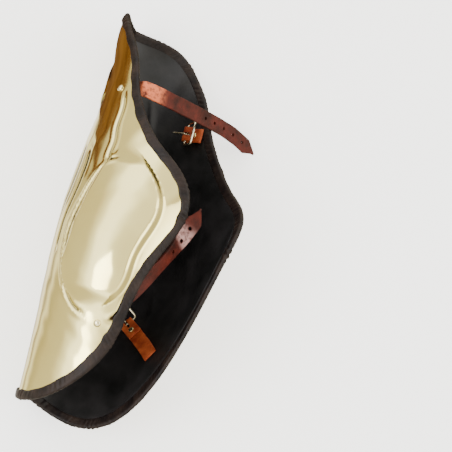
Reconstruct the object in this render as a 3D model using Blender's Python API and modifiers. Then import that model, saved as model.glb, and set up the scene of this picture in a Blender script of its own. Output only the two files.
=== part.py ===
"""A greave: a brass shin and knee guard with a leather lining, a bound rim, two straps and two buckles.

The shell is one sheet round the leg. A point of it is given by its arc, the way round from the shin
ridge (+ to the wing that carries the straps), and its height above the ankle. The greave lies on its
back and side as it rests by itself, with its opening up and to +X and its knee to +Y.
"""

import math

import bpy
import numpy as np
from mathutils import Matrix, Vector

# Overall sizes of the sheet, in metres
LENGTH = 0.425
HALF_WIDTH = 0.088
RIDGE_SWEEP = 0.020
WRAP = 0.232
WING_TURN = math.radians(290.0)
RIDGE_ANGLE = math.radians(12.0)
TURN_BLEND = 0.012

# The far wing, without the straps, is slimmer and turns in less, as the inner side of a calf does
FAR_SLIMNESS = 0.70
FAR_OPENNESS = 0.35

# Walls and clearances
BRASS = 0.0012
GAP = 0.0003
GLUE_LINE = 0.0006
LINING = 0.0020
BINDING = 0.0015
BINDING_WIDTH = 0.0065
LINING_CLEARANCE = 0.0012
SEAT = 0.0006

# Relief of the sheet
BOSS_RADIUS = 0.028
BOSS_RISE = 0.0050
KNEE_RADIUS = 0.041
KNEE_RISE = 0.0030
CALF_RISE = 0.005
CREASE = 0.005

# Straps. The upper one leaves the wing at its rim, slants up over the opening with a bow, and its free end
# rises off the other rim and drops toward the ankle
STRAP_WIDTH = 0.016
STRAP = 0.0030
STRAP_POINT = 0.014
STRAP_BOW = 0.002
STRAP_TAIL = 0.068
STRAP_TAIL_RISE = 0.007
STRAP_TAIL_DROP = 0.012
STRAP_LEAVE = 0.0045
STRAP_TURN = 0.008
STRAP_SLANT = 0.018
STRAP_EASE = 0.0008
HOLE = 0.0036
HOLE_PITCH = 0.016

# Way that the lower strap's free end faces once it is clear of the rim: across, back and up the leg
LOWER_STRAP_LOOK = (0.73, 0.64, -0.24)

# Buckles and their tabs
WIRE = 0.0024
PRONG = 0.0018
BUCKLE_WIDTH = 0.024
BUCKLE_DEPTH = 0.014
BUCKLE_CORNER = 0.003
TAB_WIDTH = 0.015
TAB = 0.0022
TAB_EASE = 0.0005
SLOT_EASE = 0.0007
UPPER_TAB = 0.018
UPPER_TAB_RIVET = 0.009
LOWER_TAB = 0.056
LOWER_TAB_STUD = 0.015

# How far each frame stands up from its tab, and the slope of each prong
UPPER_FRAME_RAISE = math.radians(29.0)
LOWER_FRAME_RAISE = math.radians(52.0)
UPPER_PRONG_SLOPE = 0.1
LOWER_PRONG_SLOPE = 0.5

# Rivets
RIVET_HEAD = 0.0036
RIVET_RISE = 0.0022
RIVET_SHANK = 0.0015
RIVET_CLENCH = 0.0028
RIVET_CLENCH_RISE = 0.0010
RIVET_SIDES = 10

# Turn about the leg's length and about the ankle that the greave takes when it lies by itself
REST_ROLL = math.radians(44.6)
REST_PITCH = math.radians(3.7)

# Cells of the shell and of the lining, across and along
SHELL_CELLS = (28, 34)
LINING_CELLS = (16, 22)

# Sections of the sheet: height as a share of LENGTH, half width of HALF_WIDTH, depth of the ridge of
# RIDGE_SWEEP, and how fast the wings turn in, of WING_TURN
SECTIONS = np.array(
    [
        # height, half_width, ridge, wing_turn
        (0.00, 0.55, 1.20, 0.25),
        (0.10, 0.65, 1.00, 0.60),
        (0.25, 0.90, 0.65, 1.00),
        (0.40, 1.00, 0.20, 0.90),
        (0.55, 0.90, -0.10, 0.50),
        (0.70, 0.80, -0.10, 0.10),
        (0.85, 0.75, -0.40, -0.10),
        (0.94, 0.80, -0.70, -0.05),
        (1.00, 0.90, -0.10, 0.05),
    ]
)

# Half of the rim, from the middle of the ankle edge to the top of the knee: arc as a share of WRAP
# and height as a share of LENGTH
RIM = np.array(
    [
        # arc, height
        (0.00, 0.025),
        (0.12, 0.01),
        (0.30, 0.00),
        (0.45, 0.03),
        (0.60, 0.10),
        (0.75, 0.20),
        (0.87, 0.31),
        (0.96, 0.40),
        (0.99, 0.48),
        (0.90, 0.56),
        (0.74, 0.62),
        (0.60, 0.69),
        (0.50, 0.76),
        (0.44, 0.83),
        (0.35, 0.91),
        (0.20, 0.96),
        (0.00, 0.96),
    ]
)
ANKLE_CORNER = 4
KNEE_CORNER = 14

# The raised calf: height as a share of LENGTH, and its front and rear edge as shares of WRAP
CALF = np.array(
    [
        # height, front, rear
        (0.20, 0.60, 0.60),
        (0.25, 0.49, 0.75),
        (0.35, 0.48, 0.85),
        (0.45, 0.51, 0.90),
        (0.55, 0.54, 0.80),
        (0.62, 0.60, 0.60),
    ]
)
KNEE_HEIGHT = 0.78

# Where the straps and buckles are fixed: arc as a share of WRAP, height as a share of LENGTH
UPPER_ROOT = (0.40, 0.75)
LOWER_ROOT = (0.65, 0.19)
UPPER_BAR = (-0.40, 0.75)
UPPER_TAB_SLOPE = math.radians(4.0)
LOWER_BAR = (-0.38, 0.26)
LOWER_TAB_SLOPE = math.radians(-31.0)
SIDE_RIVETS = ((-0.37, 0.36), (-0.41, 0.09))

# Level of what lies on the lining, below the outer face
INSIDE = BRASS + GLUE_LINE + LINING + SEAT


def spline(places, values):
    """A natural cubic spline through rows of values, as a function of place."""
    places = np.asarray(places, float)
    values = np.asarray(values, float).reshape(len(places), -1)
    step = np.diff(places)
    slope = np.diff(values, axis=0) / step[:, None]
    bend = np.zeros_like(values)
    matrix = np.diag(2 * (step[:-1] + step[1:])) + np.diag(step[1:-1], 1) + np.diag(step[1:-1], -1)
    bend[1:-1] = np.linalg.solve(matrix, 6 * np.diff(slope, axis=0))

    def at(where):
        where = np.asarray(where, float)
        i = np.clip(np.searchsorted(places, where) - 1, 0, len(step) - 1)
        x = (where - places[i])[..., None]
        h = step[i][..., None]
        start = slope[i] - h * (2 * bend[i] + bend[i + 1]) / 6
        return values[i] + x * (start + x * (bend[i] / 2 + x * (bend[i + 1] - bend[i]) / (6 * h)))

    return at


def through(points, count):
    """Evenly spaced points on a smooth curve through the given ones."""
    points = np.asarray(points, float)
    place = np.r_[0, np.cumsum(np.linalg.norm(np.diff(points, axis=0), axis=1) ** 0.75)]
    curve = spline(place, points)
    dense = curve(np.linspace(0, place[-1], 1200))
    run = np.r_[0, np.cumsum(np.linalg.norm(np.diff(dense, axis=0), axis=1))]
    even = np.linspace(0, run[-1], count)
    return np.stack([np.interp(even, run, dense[:, k]) for k in range(dense.shape[1])], axis=1)


section_at = spline(SECTIONS[:, 0] * LENGTH, SECTIONS[:, 1:] * (HALF_WIDTH, RIDGE_SWEEP, WING_TURN / WRAP))
calf_at = spline(CALF[:, 0] * LENGTH, CALF[:, 1:] * WRAP)


def leaf(arc, height):
    """The plain sheet. Its direction turns evenly round the front, then more slowly along the wing."""
    arc, height = np.broadcast_arrays(np.asarray(arc, float), np.asarray(height, float))
    half_width, ridge, wing_turn = np.moveaxis(section_at(height), -1, 0)
    half_width = half_width * np.where(arc < 0, FAR_SLIMNESS, 1.0)
    wing_turn = wing_turn * np.where(arc < 0, FAR_OPENNESS, 1.0)
    front_turn = (1 - math.sin(RIDGE_ANGLE)) / half_width
    to_wing = (math.pi / 2 - RIDGE_ANGLE) / front_turn
    steps = (np.arange(48) + 0.5) / 48
    along = np.abs(arc)[..., None] * steps
    past = TURN_BLEND * np.logaddexp(0, (along - to_wing[..., None]) / TURN_BLEND)
    turned = RIDGE_ANGLE + front_turn[..., None] * along - (front_turn - wing_turn)[..., None] * past
    across = arc * np.cos(turned).mean(axis=-1)
    back = ridge + np.abs(arc) * np.sin(turned).mean(axis=-1)
    return np.stack([across, back, height], axis=-1)


def outward(arc, height):
    """The sheet's unit normal, away from the leg."""
    small = 0.0004
    arc = np.where(np.abs(arc) < small, small, arc)
    round_leg = leaf(arc + small, height) - leaf(arc - small, height)
    up_leg = leaf(arc, height + small) - leaf(arc, height - small)
    normal = np.cross(round_leg, up_leg)
    return normal / np.linalg.norm(normal, axis=-1, keepdims=True)


def ridge_normal(arc, height):
    """The normal, with the two sides of the shin ridge sharing its middle plane."""
    normal = outward(arc, height)
    on_ridge = np.abs(np.asarray(arc, float)) < 1e-6
    normal[on_ridge, 0] = 0
    return normal / np.linalg.norm(normal, axis=-1, keepdims=True)


def step_up(distance, width):
    """0 before an edge and 1 past it, with a smooth slope of the given width."""
    x = np.clip(distance / width + 0.5, 0, 1)
    return x * x * (3 - 2 * x)


def relief(arc, height):
    """How far the sheet is raised: the knee cap with its boss, and the calf muscle of each side."""
    arc = np.abs(arc)
    from_knee = np.hypot(arc, height - KNEE_HEIGHT * LENGTH)
    boss = BOSS_RISE * np.clip(1 - (from_knee / BOSS_RADIUS) ** 2, 0, 1) ** 1.5
    cap = KNEE_RISE * step_up(KNEE_RADIUS - from_knee, 2 * CREASE)
    lowest, highest = CALF[0, 0] * LENGTH, CALF[-1, 0] * LENGTH
    front, rear = np.moveaxis(calf_at(np.clip(height, lowest, highest)), -1, 0)
    middle, half = (front + rear) / 2, np.maximum((rear - front) / 2, CREASE)
    level = (height - (lowest + highest) / 2) / ((highest - lowest) / 2)
    reach = 1 - np.maximum(np.abs(arc - middle) / half, np.abs(level))
    return boss + cap + CALF_RISE * step_up(reach * half - CREASE, 2 * CREASE)


def sheet(domain, level, raised=False):
    """Points at a level above the plain sheet, for rows of arc and height."""
    arc, height = domain[..., 0], domain[..., 1]
    lift = level + (relief(arc, height) if raised else 0.0)
    return leaf(arc, height) + np.asarray(lift)[..., None] * ridge_normal(arc, height)


def half_rim():
    """The rim of the + side, dense, from the ankle to the knee, with the places of its two corners."""
    rows = RIM * (WRAP, LENGTH)
    mirrored = np.vstack([rows[1] * (-1, 1), rows, rows[-2] * (-1, 1)])
    place = np.r_[0, np.cumsum(np.linalg.norm(np.diff(mirrored, axis=0), axis=1) ** 0.75)]
    dense = spline(place, mirrored)(np.linspace(place[1], place[-2], 1600))
    corners = [int(np.argmin(np.linalg.norm(dense - rows[k], axis=1))) for k in (ANKLE_CORNER, KNEE_CORNER)]
    return dense, corners


def evenly(points, count):
    """Points at even runs of a dense line, ends included."""
    run = np.r_[0, np.cumsum(np.linalg.norm(np.diff(points, axis=0), axis=1))]
    even = np.linspace(0, run[-1], count)
    return np.stack([np.interp(even, run, points[:, k]) for k in (0, 1)], axis=1)


def rim_sides(cells):
    """The rim in four lines: ankle and knee edge (- to +), and the two sides (up)."""
    across, along = cells
    dense, (low, high) = half_rim()
    ankle = evenly(dense[: low + 1], across // 2 + 1)
    side = evenly(dense[low : high + 1], along + 1)
    knee = evenly(dense[high:], across // 2 + 1)[::-1]
    ankle = np.vstack([ankle[:0:-1] * (-1, 1), ankle])
    knee = np.vstack([knee[:0:-1] * (-1, 1), knee])
    return ankle, knee, side * (-1, 1), side


def rim_loop(cells):
    """The rim as one closed line of points, anticlockwise seen from outside the leg."""
    ankle, knee, left, right = rim_sides(cells)
    return np.vstack([ankle[:-1], right[:-1], knee[:0:-1], left[:0:-1]])


def inset(loop, distance):
    """A closed line moved inwards by a distance."""
    ahead = np.roll(loop, -1, axis=0) - np.roll(loop, 1, axis=0)
    ahead /= np.linalg.norm(ahead, axis=1, keepdims=True)
    return loop + distance * np.stack([-ahead[:, 1], ahead[:, 0]], axis=1)


def filled(loop, cells):
    """A grid of points inside a closed line, blended from its four sides."""
    across, along = cells
    corner = (0, across, across + along, 2 * across + along)
    loop = np.vstack([loop, loop[:1]])
    ankle = loop[: across + 1]
    right = loop[corner[1] : corner[2] + 1]
    knee = loop[corner[2] : corner[3] + 1][::-1]
    left = loop[corner[3] :][::-1]
    u = np.linspace(0, 1, across + 1)[None, :, None]
    v = np.linspace(0, 1, along + 1)[:, None, None]
    sides = (1 - u) * left[:, None] + u * right[:, None]
    ends = (1 - v) * ankle[None] + v * knee[None]
    low_corners = (1 - u) * (1 - v) * ankle[0] + u * (1 - v) * ankle[-1]
    high_corners = (1 - u) * v * knee[0] + u * v * knee[-1]
    return sides + ends - low_corners - high_corners


def grid_faces(rows, columns):
    """Two triangles for each cell of a grid, mirrored about its middle column."""
    faces = []
    for i in range(rows - 1):
        for j in range(columns - 1):
            a, b = i * columns + j, i * columns + j + 1
            c, d = b + columns, a + columns
            faces += [(a, b, c), (a, c, d)] if j < columns // 2 else [(a, b, d), (b, c, d)]
    return faces


def grid_border(rows, columns):
    """Vertex numbers round a grid, in the order of rim_loop."""
    low = list(range(columns - 1))
    right = [i * columns + columns - 1 for i in range(rows - 1)]
    high = [(rows - 1) * columns + j for j in range(columns - 1, 0, -1)]
    left = [i * columns for i in range(rows - 1, 0, -1)]
    return low + right + high + left


def finish(name, mesh, material, pose, smooth=35.0):
    """An object of the part, in its collection, placed by the empty that lays the greave down."""
    mesh.materials.append(material)
    mesh.shade_smooth()
    mesh.set_sharp_from_angle(angle=math.radians(smooth))
    piece = bpy.data.objects.new(name, mesh)
    bpy.data.collections["greave"].objects.link(piece)
    piece.parent = pose
    return piece


def plain_mesh(name, points, faces):
    mesh = bpy.data.meshes.new(name)
    mesh.from_pydata([tuple(p) for p in points], [], faces)
    mesh.validate()
    return mesh


def thicken(piece, wall):
    """Gives an open sheet its wall, on the side away from its faces."""
    solidify = piece.modifiers.new("wall", "SOLIDIFY")
    solidify.thickness = wall
    solidify.offset = -1
    solidify.use_even_offset = True


def drill(piece, cutters):
    for number, cutter in enumerate(cutters):
        cut = piece.modifiers.new(f"hole_{number}", "BOOLEAN")
        cut.operation = "DIFFERENCE"
        cut.object = cutter


def make_shell(material, pose):
    across, along = SHELL_CELLS
    rim = rim_loop(SHELL_CELLS)
    inner = filled(inset(rim, BINDING_WIDTH), SHELL_CELLS)
    grid = inner.reshape(-1, 2)
    faces = grid_faces(along + 1, across + 1)
    border = grid_border(along + 1, across + 1)
    outer = [len(grid) + k for k in range(len(rim))]
    for k in range(len(rim)):
        n = (k + 1) % len(rim)
        faces += [(outer[k], outer[n], border[n]), (outer[k], border[n], border[k])]
    points = sheet(np.vstack([grid, rim]), 0.0, raised=True)
    piece = finish("shell", plain_mesh("shell", points, faces), material, pose, 20.0)
    thicken(piece, BRASS)
    return piece


def make_lining(material, pose):
    across, along = LINING_CELLS
    edge = inset(rim_loop(LINING_CELLS), BINDING_WIDTH + LINING_CLEARANCE)
    grid = filled(edge, LINING_CELLS).reshape(-1, 2)
    points = sheet(grid, -BRASS - GLUE_LINE)
    mesh = plain_mesh("lining", points, grid_faces(along + 1, across + 1))
    piece = finish("lining", mesh, material, pose)
    thicken(piece, LINING)
    return piece


def make_binding(material, pose):
    """Leather folded over the rim: its section, in distance from the rim and level, is carried round it."""
    rim = rim_loop(SHELL_CELLS)
    under = BRASS + GAP
    section = [
        # inset, level
        (BINDING_WIDTH, GAP),
        (BINDING_WIDTH, GAP + BINDING),
        (-GAP, GAP + BINDING),
        (-GAP - BINDING, -BRASS / 2),
        (-GAP, -under - BINDING),
        (BINDING_WIDTH, -under - BINDING),
        (BINDING_WIDTH, -under),
        (-GAP, -under),
        (-GAP, GAP),
    ]
    rings = [sheet(inset(rim, distance), level) for distance, level in section]
    points = np.stack(rings, axis=1).reshape(-1, 3)
    sides = len(section)
    faces = []
    for k in range(len(rim)):
        n = (k + 1) % len(rim)
        for s in range(sides):
            t = (s + 1) % sides
            a, b, c, d = k * sides + s, n * sides + s, n * sides + t, k * sides + t
            inner_flange = s == len(section) - 3
            faces += [(a, d, b), (b, d, c)] if inner_flange else [(a, c, b), (a, d, c)]
    mesh = plain_mesh("binding", points, faces)
    return finish("binding", mesh, material, pose, 50.0)


def inside(arc, height, lift):
    """A point inside the leg's hollow, a lift clear of the lining."""
    return sheet(np.array([[arc, height]]), -INSIDE - lift)[0]


def facing(arc, height):
    return ridge_normal(np.array([arc]), np.array([height]))[0]


def ribbon(name, centre, face, width, wall, point=0.0):
    """A flat strip along a line: face is the direction that its outer side looks, at each point."""
    ahead = np.gradient(centre, axis=0)
    ahead /= np.linalg.norm(ahead, axis=1, keepdims=True)
    face = face - (face * ahead).sum(axis=1, keepdims=True) * ahead
    face /= np.linalg.norm(face, axis=1, keepdims=True)
    side = np.cross(ahead, face)
    run = np.r_[0, np.cumsum(np.linalg.norm(np.diff(centre, axis=0), axis=1))]
    left = (run[-1] - run) / point if point else np.ones(len(run))
    half = (width / 2 * np.clip(left, 0.12, 1))[:, None]
    corners = [
        centre + side * half + face * wall / 2,
        centre - side * half + face * wall / 2,
        centre - side * half - face * wall / 2,
        centre + side * half - face * wall / 2,
    ]
    points = np.stack(corners, axis=1).reshape(-1, 3)
    last = 4 * (len(centre) - 1)
    faces = [(3, 2, 1, 0), (last, last + 1, last + 2, last + 3)]
    for k in range(0, last, 4):
        for s in range(4):
            t = (s + 1) % 4
            faces.append((k + s, k + t, k + 4 + t, k + 4 + s))
    return plain_mesh(name, points, faces)


def turned_about(place, face, length, radius, sides):
    """A rod across a wall, as a cutter: its middle, its direction, its length and radius."""
    bpy.ops.mesh.primitive_cylinder_add(vertices=sides, radius=radius, depth=length)
    rod = bpy.context.object
    turn = Vector(face).to_track_quat("Z", "Y").to_matrix().to_4x4()
    rod.data.transform(Matrix.Translation(Vector(place)) @ turn)
    return rod


def make_cutter(name, rod, pose):
    for collection in list(rod.users_collection):
        collection.objects.unlink(rod)
    bpy.data.collections["cutters"].objects.link(rod)
    rod.name = name
    rod.hide_render = True
    rod.display_type = "WIRE"
    rod.parent = pose
    return rod


def make_rivet(name, arc, height, depth, material, pose):
    """A domed rivet: head outside, shank, and a clench at a depth inside, or flush with the brass if 0."""
    profile = [
        (0.0, GAP + RIVET_RISE),
        (RIVET_HEAD * 0.6, GAP + RIVET_RISE * 0.75),
        (RIVET_HEAD, GAP),
        (RIVET_SHANK, GAP),
    ]
    if depth:
        profile += [
            (RIVET_SHANK, -depth - GAP),
            (RIVET_CLENCH, -depth - GAP),
            (RIVET_CLENCH * 0.7, -depth - GAP - RIVET_CLENCH_RISE),
            (0.0, -depth - GAP - RIVET_CLENCH_RISE),
        ]
    else:
        profile += [(RIVET_SHANK, -BRASS), (0.0, -BRASS)]
    mesh = bpy.data.meshes.new(name)
    edges = [(k, k + 1) for k in range(len(profile) - 1)]
    mesh.from_pydata([(r, 0.0, z) for r, z in profile], edges, [])
    piece = finish(name, mesh, material, pose)
    screw = piece.modifiers.new("turn", "SCREW")
    screw.steps = screw.render_steps = RIVET_SIDES
    screw.use_merge_vertices = True
    screw.merge_threshold = 0.00001
    where = Vector(sheet(np.array([[arc, height]]), 0.0)[0])
    turn = Vector(facing(arc, height)).to_track_quat("Z", "Y")
    piece.location = where
    piece.rotation_mode = "QUATERNION"
    piece.rotation_quaternion = turn
    return piece


def rivet_hole(name, arc, height, pose, radius=RIVET_SHANK + GAP):
    """The cutter of a rivet's hole, through every layer."""
    face = facing(arc, height)
    middle = sheet(np.array([[arc, height]]), 0.0)[0] - face * (INSIDE + STRAP) / 2
    rod = turned_about(middle, face, INSIDE + 4 * STRAP, radius, RIVET_SIDES)
    return make_cutter(name, rod, pose)


def rim_arc(height):
    """The rim's arc at a height, on the upper half of the side."""
    dense, _ = half_rim()
    upper = dense[np.argmax(dense[:, 0]) :]
    return float(np.interp(height, upper[:, 1], upper[:, 0]))


def upper_route():
    """The knee strap: along the + wing, round past its rim, over the opening and the other rim, and free."""
    arc, height = UPPER_ROOT[0] * WRAP, UPPER_ROOT[1] * LENGTH
    lift = GAP + STRAP / 2
    edge = rim_arc(height)
    start = inside(arc - 0.6 * STRAP_WIDTH, height, lift)
    root = inside(arc, height, lift)
    leave = inside(edge - STRAP_LEAVE, height + 0.15 * STRAP_SLANT, lift + STRAP_EASE / 2)
    turn = inside(edge + STRAP_LEAVE, height + 0.25 * STRAP_SLANT, lift + STRAP_TURN)
    height_over = height + STRAP_SLANT
    over_rim = rim_arc(height_over - STRAP_WIDTH / 2) + 7 * GAP + BINDING + STRAP / 2
    over = sheet(np.array([[-over_rim, height_over]]), -BRASS / 2)[0]
    mid = (turn + over) / 2 + (0, STRAP_BOW, 0)
    ahead = (over - mid) / np.linalg.norm(over - mid)
    tip = over + ahead * STRAP_TAIL + (0, STRAP_TAIL_RISE, -STRAP_TAIL_DROP)
    half_way = (over + tip) / 2 + (0, -STRAP_TAIL_RISE / 8, STRAP_TAIL_DROP / 4)
    points = np.array([start, root, leave, turn, mid, over, half_way, tip])
    out = facing(arc, height)
    back = np.array([0.0, 1.0, 0.0])
    faces = np.array([out, out, out, 0.6 * out + back, back, back, back, back])
    return points, faces


def lower_route():
    """The calf strap: up along the + wing from its rivet, and free along the inside of the rim."""
    rows = [
        # arc as a share of WRAP, height as a share of LENGTH, lift off the lining as a share of
        # STRAP_WIDTH, and share of the turn toward LOWER_STRAP_LOOK
        (LOWER_ROOT[0] - 0.03, LOWER_ROOT[1] - 0.03, 0.0, 0.0),
        (*LOWER_ROOT, 0.0, 0.0),
        (0.72, 0.23, 0.0, 0.0),
        (0.80, 0.26, 0.0, 0.0),
        (0.87, 0.29, 0.04, 0.0),
        (0.95, 0.33, 0.04, 0.0),
        (1.02, 0.37, 0.0, 0.0),
        (1.08, 0.41, 0.06, 0.3),
        (1.12, 0.45, 0.25, 0.6),
        (1.13, 0.49, 0.55, 0.9),
        (1.12, 0.51, 0.75, 1.0),
    ]
    lift = GAP + STRAP / 2 + STRAP_EASE
    look = np.array(LOWER_STRAP_LOOK)
    points = [inside(a * WRAP, h * LENGTH, lift + rise * STRAP_WIDTH) for a, h, rise, _ in rows]
    faces = [(1 - turn) * facing(a * WRAP, h * LENGTH) + turn * look for a, h, _, turn in rows]
    return np.array(points), np.array(faces)


def make_strap(name, route, count, holes, material, pose, rivet):
    points, faces = route
    both = through(np.hstack([points, faces * STRAP_WIDTH]), count)
    centre, face = both[:, :3], both[:, 3:]
    mesh = ribbon(name, centre, face, STRAP_WIDTH, STRAP, STRAP_POINT)
    piece = finish(name, mesh, material, pose)
    run = np.r_[0, np.cumsum(np.linalg.norm(np.diff(centre, axis=0), axis=1))]
    cutters = [rivet]
    for k in range(holes):
        at = run[-1] - 1.6 * STRAP_POINT - k * HOLE_PITCH
        place = [np.interp(at, run, centre[:, c]) for c in range(3)]
        look = Vector([np.interp(at, run, face[:, c]) for c in range(3)]).normalized()
        rod = turned_about(place, look, 4 * STRAP, HOLE / 2, 8)
        cutters.append(make_cutter(f"{name}_hole_{k}", rod, pose))
    drill(piece, cutters)
    return piece


def on_tab(bar, slope, run):
    """Arc and height of a place on a tab, at a run from the buckle's bar."""
    return bar[0] * WRAP - run * math.cos(slope), bar[1] * LENGTH + run * math.sin(slope)


def buckle_frame_axes(bar, slope):
    """Where a buckle's bar lies on the lining: middle, the way to the tab's end, axis, and inwards."""
    arc, height = bar[0] * WRAP, bar[1] * LENGTH
    middle = sheet(np.array([[arc, height]]), -INSIDE)[0]
    along = sheet(np.array([on_tab(bar, slope, TAB_WIDTH / 4)]), -INSIDE)[0] - middle
    along /= np.linalg.norm(along)
    inwards = -facing(arc, height)
    inwards -= inwards @ along * along
    inwards /= np.linalg.norm(inwards)
    return middle, along, np.cross(inwards, along), inwards


def wire(name, points, radius, closed, material, pose):
    """A round wire through the given points."""
    curve = bpy.data.curves.new(name, "CURVE")
    curve.dimensions = "3D"
    curve.bevel_depth = radius
    curve.bevel_resolution = 1
    curve.use_fill_caps = not closed
    line = curve.splines.new("POLY")
    line.points.add(len(points) - 1)
    line.points.foreach_set("co", np.hstack([points, np.ones((len(points), 1))]).astype(np.float32).ravel())
    line.use_cyclic_u = closed
    curve.materials.append(material)
    piece = bpy.data.objects.new(name, curve)
    bpy.data.collections["greave"].objects.link(piece)
    piece.parent = pose
    return piece


def tab_route(bar, slope, length):
    """A tab on the lining from the buckle's bar to its end, folded round the bar and back over itself."""
    fold = WIRE / 2 + GAP + TAB / 2
    low = GAP + TAB / 2 + TAB_EASE
    points, faces = [], []
    for share in (1.0, 0.75, 0.5, 0.25, 0.08):
        place = on_tab(bar, slope, share * length)
        points.append(inside(*place, low))
        faces.append(facing(*place))
    middle, along, _, inwards = buckle_frame_axes(bar, slope)
    centre = middle + inwards * (low + fold)
    for angle in (-60, -20, 20, 60, 90):
        turn = math.radians(angle)
        out = inwards * math.sin(turn) - along * math.cos(turn)
        points.append(centre + fold * out)
        faces.append(out)
    for share in (0.35, 0.6, 0.85):
        step = share * min(length, 2.2 * STRAP_WIDTH) * 0.6
        points.append(centre + fold * inwards + along * step - inwards * step * 0.04)
        faces.append(inwards)
    return np.array(points), np.array(faces), centre


def make_tab(name, bar, slope, length, cutters, material, pose):
    points, faces, centre = tab_route(bar, slope, length)
    mesh = ribbon(name, points, faces, TAB_WIDTH, TAB)
    piece = finish(name, mesh, material, pose)
    _, along, axis, inwards = buckle_frame_axes(bar, slope)
    bpy.ops.mesh.primitive_cube_add(size=1.0)
    slot = bpy.context.object
    turn = Matrix([inwards, along, axis]).transposed().to_4x4()
    size = Matrix.Diagonal((4 * WIRE + 3 * TAB, 4 * WIRE + 2 * TAB, PRONG + 2 * SLOT_EASE, 1.0))
    slot.data.transform(Matrix.Translation(Vector(centre)) @ turn @ size)
    drill(piece, [make_cutter(f"{name}_slot", slot, pose)] + cutters)
    return piece


def make_buckle(name, bar, slope, length, folded, raised, prong_rise, material, pose):
    """A wire frame on its bar and a prong hooked round the bar. folded turns the frame over its tab."""
    _, along, axis, inwards = buckle_frame_axes(bar, slope)
    _, _, centre = tab_route(bar, slope, length)
    half, corner = BUCKLE_WIDTH / 2, BUCKLE_CORNER
    way = along if folded else -along
    reach = way * math.cos(raised) + inwards * math.sin(raised)
    ring = []
    for side, far, begin in ((1, 0, -90), (1, 1, 0), (-1, 1, 90), (-1, 0, 180)):
        for angle in (begin + 15, begin + 45, begin + 75):
            turn = math.radians(angle)
            mid = reach * (BUCKLE_DEPTH - corner if far else corner) + axis * side * (half - corner)
            ring.append(centre + mid + corner * (axis * math.cos(turn) + reach * math.sin(turn)))
    frame = wire(f"{name}_frame", np.array(ring), WIRE / 2, True, material, pose)
    loop = WIRE / 2 + PRONG / 2 + GAP
    prong_points = []
    for angle in (200, 240, 280, 320, 360, 400, 430):
        turn = math.radians(angle)
        prong_points.append(centre + loop * (inwards * math.sin(turn) - along * math.cos(turn)))
    last = prong_points[-1]
    for share in (0.4, 0.7, 1.0):
        step = share * BUCKLE_DEPTH
        prong_points.append(last + step * (inwards * prong_rise - along))
    prong = wire(f"{name}_prong", np.array(prong_points), PRONG / 2, False, material, pose)
    return frame, prong


def make_material(name, colour, metallic, roughness):
    material = bpy.data.materials.new(name)
    material.use_nodes = True
    shader = material.node_tree.nodes["Principled BSDF"]
    shader.inputs["Base Color"].default_value = (*colour, 1.0)
    shader.inputs["Metallic"].default_value = metallic
    shader.inputs["Roughness"].default_value = roughness
    return material


def lay_down(pose):
    """Turns the greave to its rest and sets the middle of the floor under it as the origin."""
    roll, pitch = REST_ROLL, REST_PITCH
    flat = Matrix(((-1, 0, 0), (0, 0, 1), (0, 1, 0)))
    turn = Matrix.Rotation(pitch, 3, "X") @ Matrix.Rotation(roll, 3, "Y") @ flat
    pose.matrix_world = turn.to_4x4()
    bpy.context.view_layer.update()
    graph = bpy.context.evaluated_depsgraph_get()
    corners = []
    for piece in bpy.data.collections["greave"].objects:
        if piece.type == "EMPTY":
            continue
        seen = piece.evaluated_get(graph)
        mesh = seen.to_mesh()
        points = np.empty(3 * len(mesh.vertices), np.float32)
        mesh.vertices.foreach_get("co", points)
        world = np.array(piece.matrix_world)
        corners.append(points.reshape(-1, 3) @ world[:3, :3].T + world[:3, 3])
        seen.to_mesh_clear()
    points = np.vstack(corners)
    low, high = points.min(axis=0), points.max(axis=0)
    pose.location = (-(low[0] + high[0]) / 2, -(low[1] + high[1]) / 2, -low[2])


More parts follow.
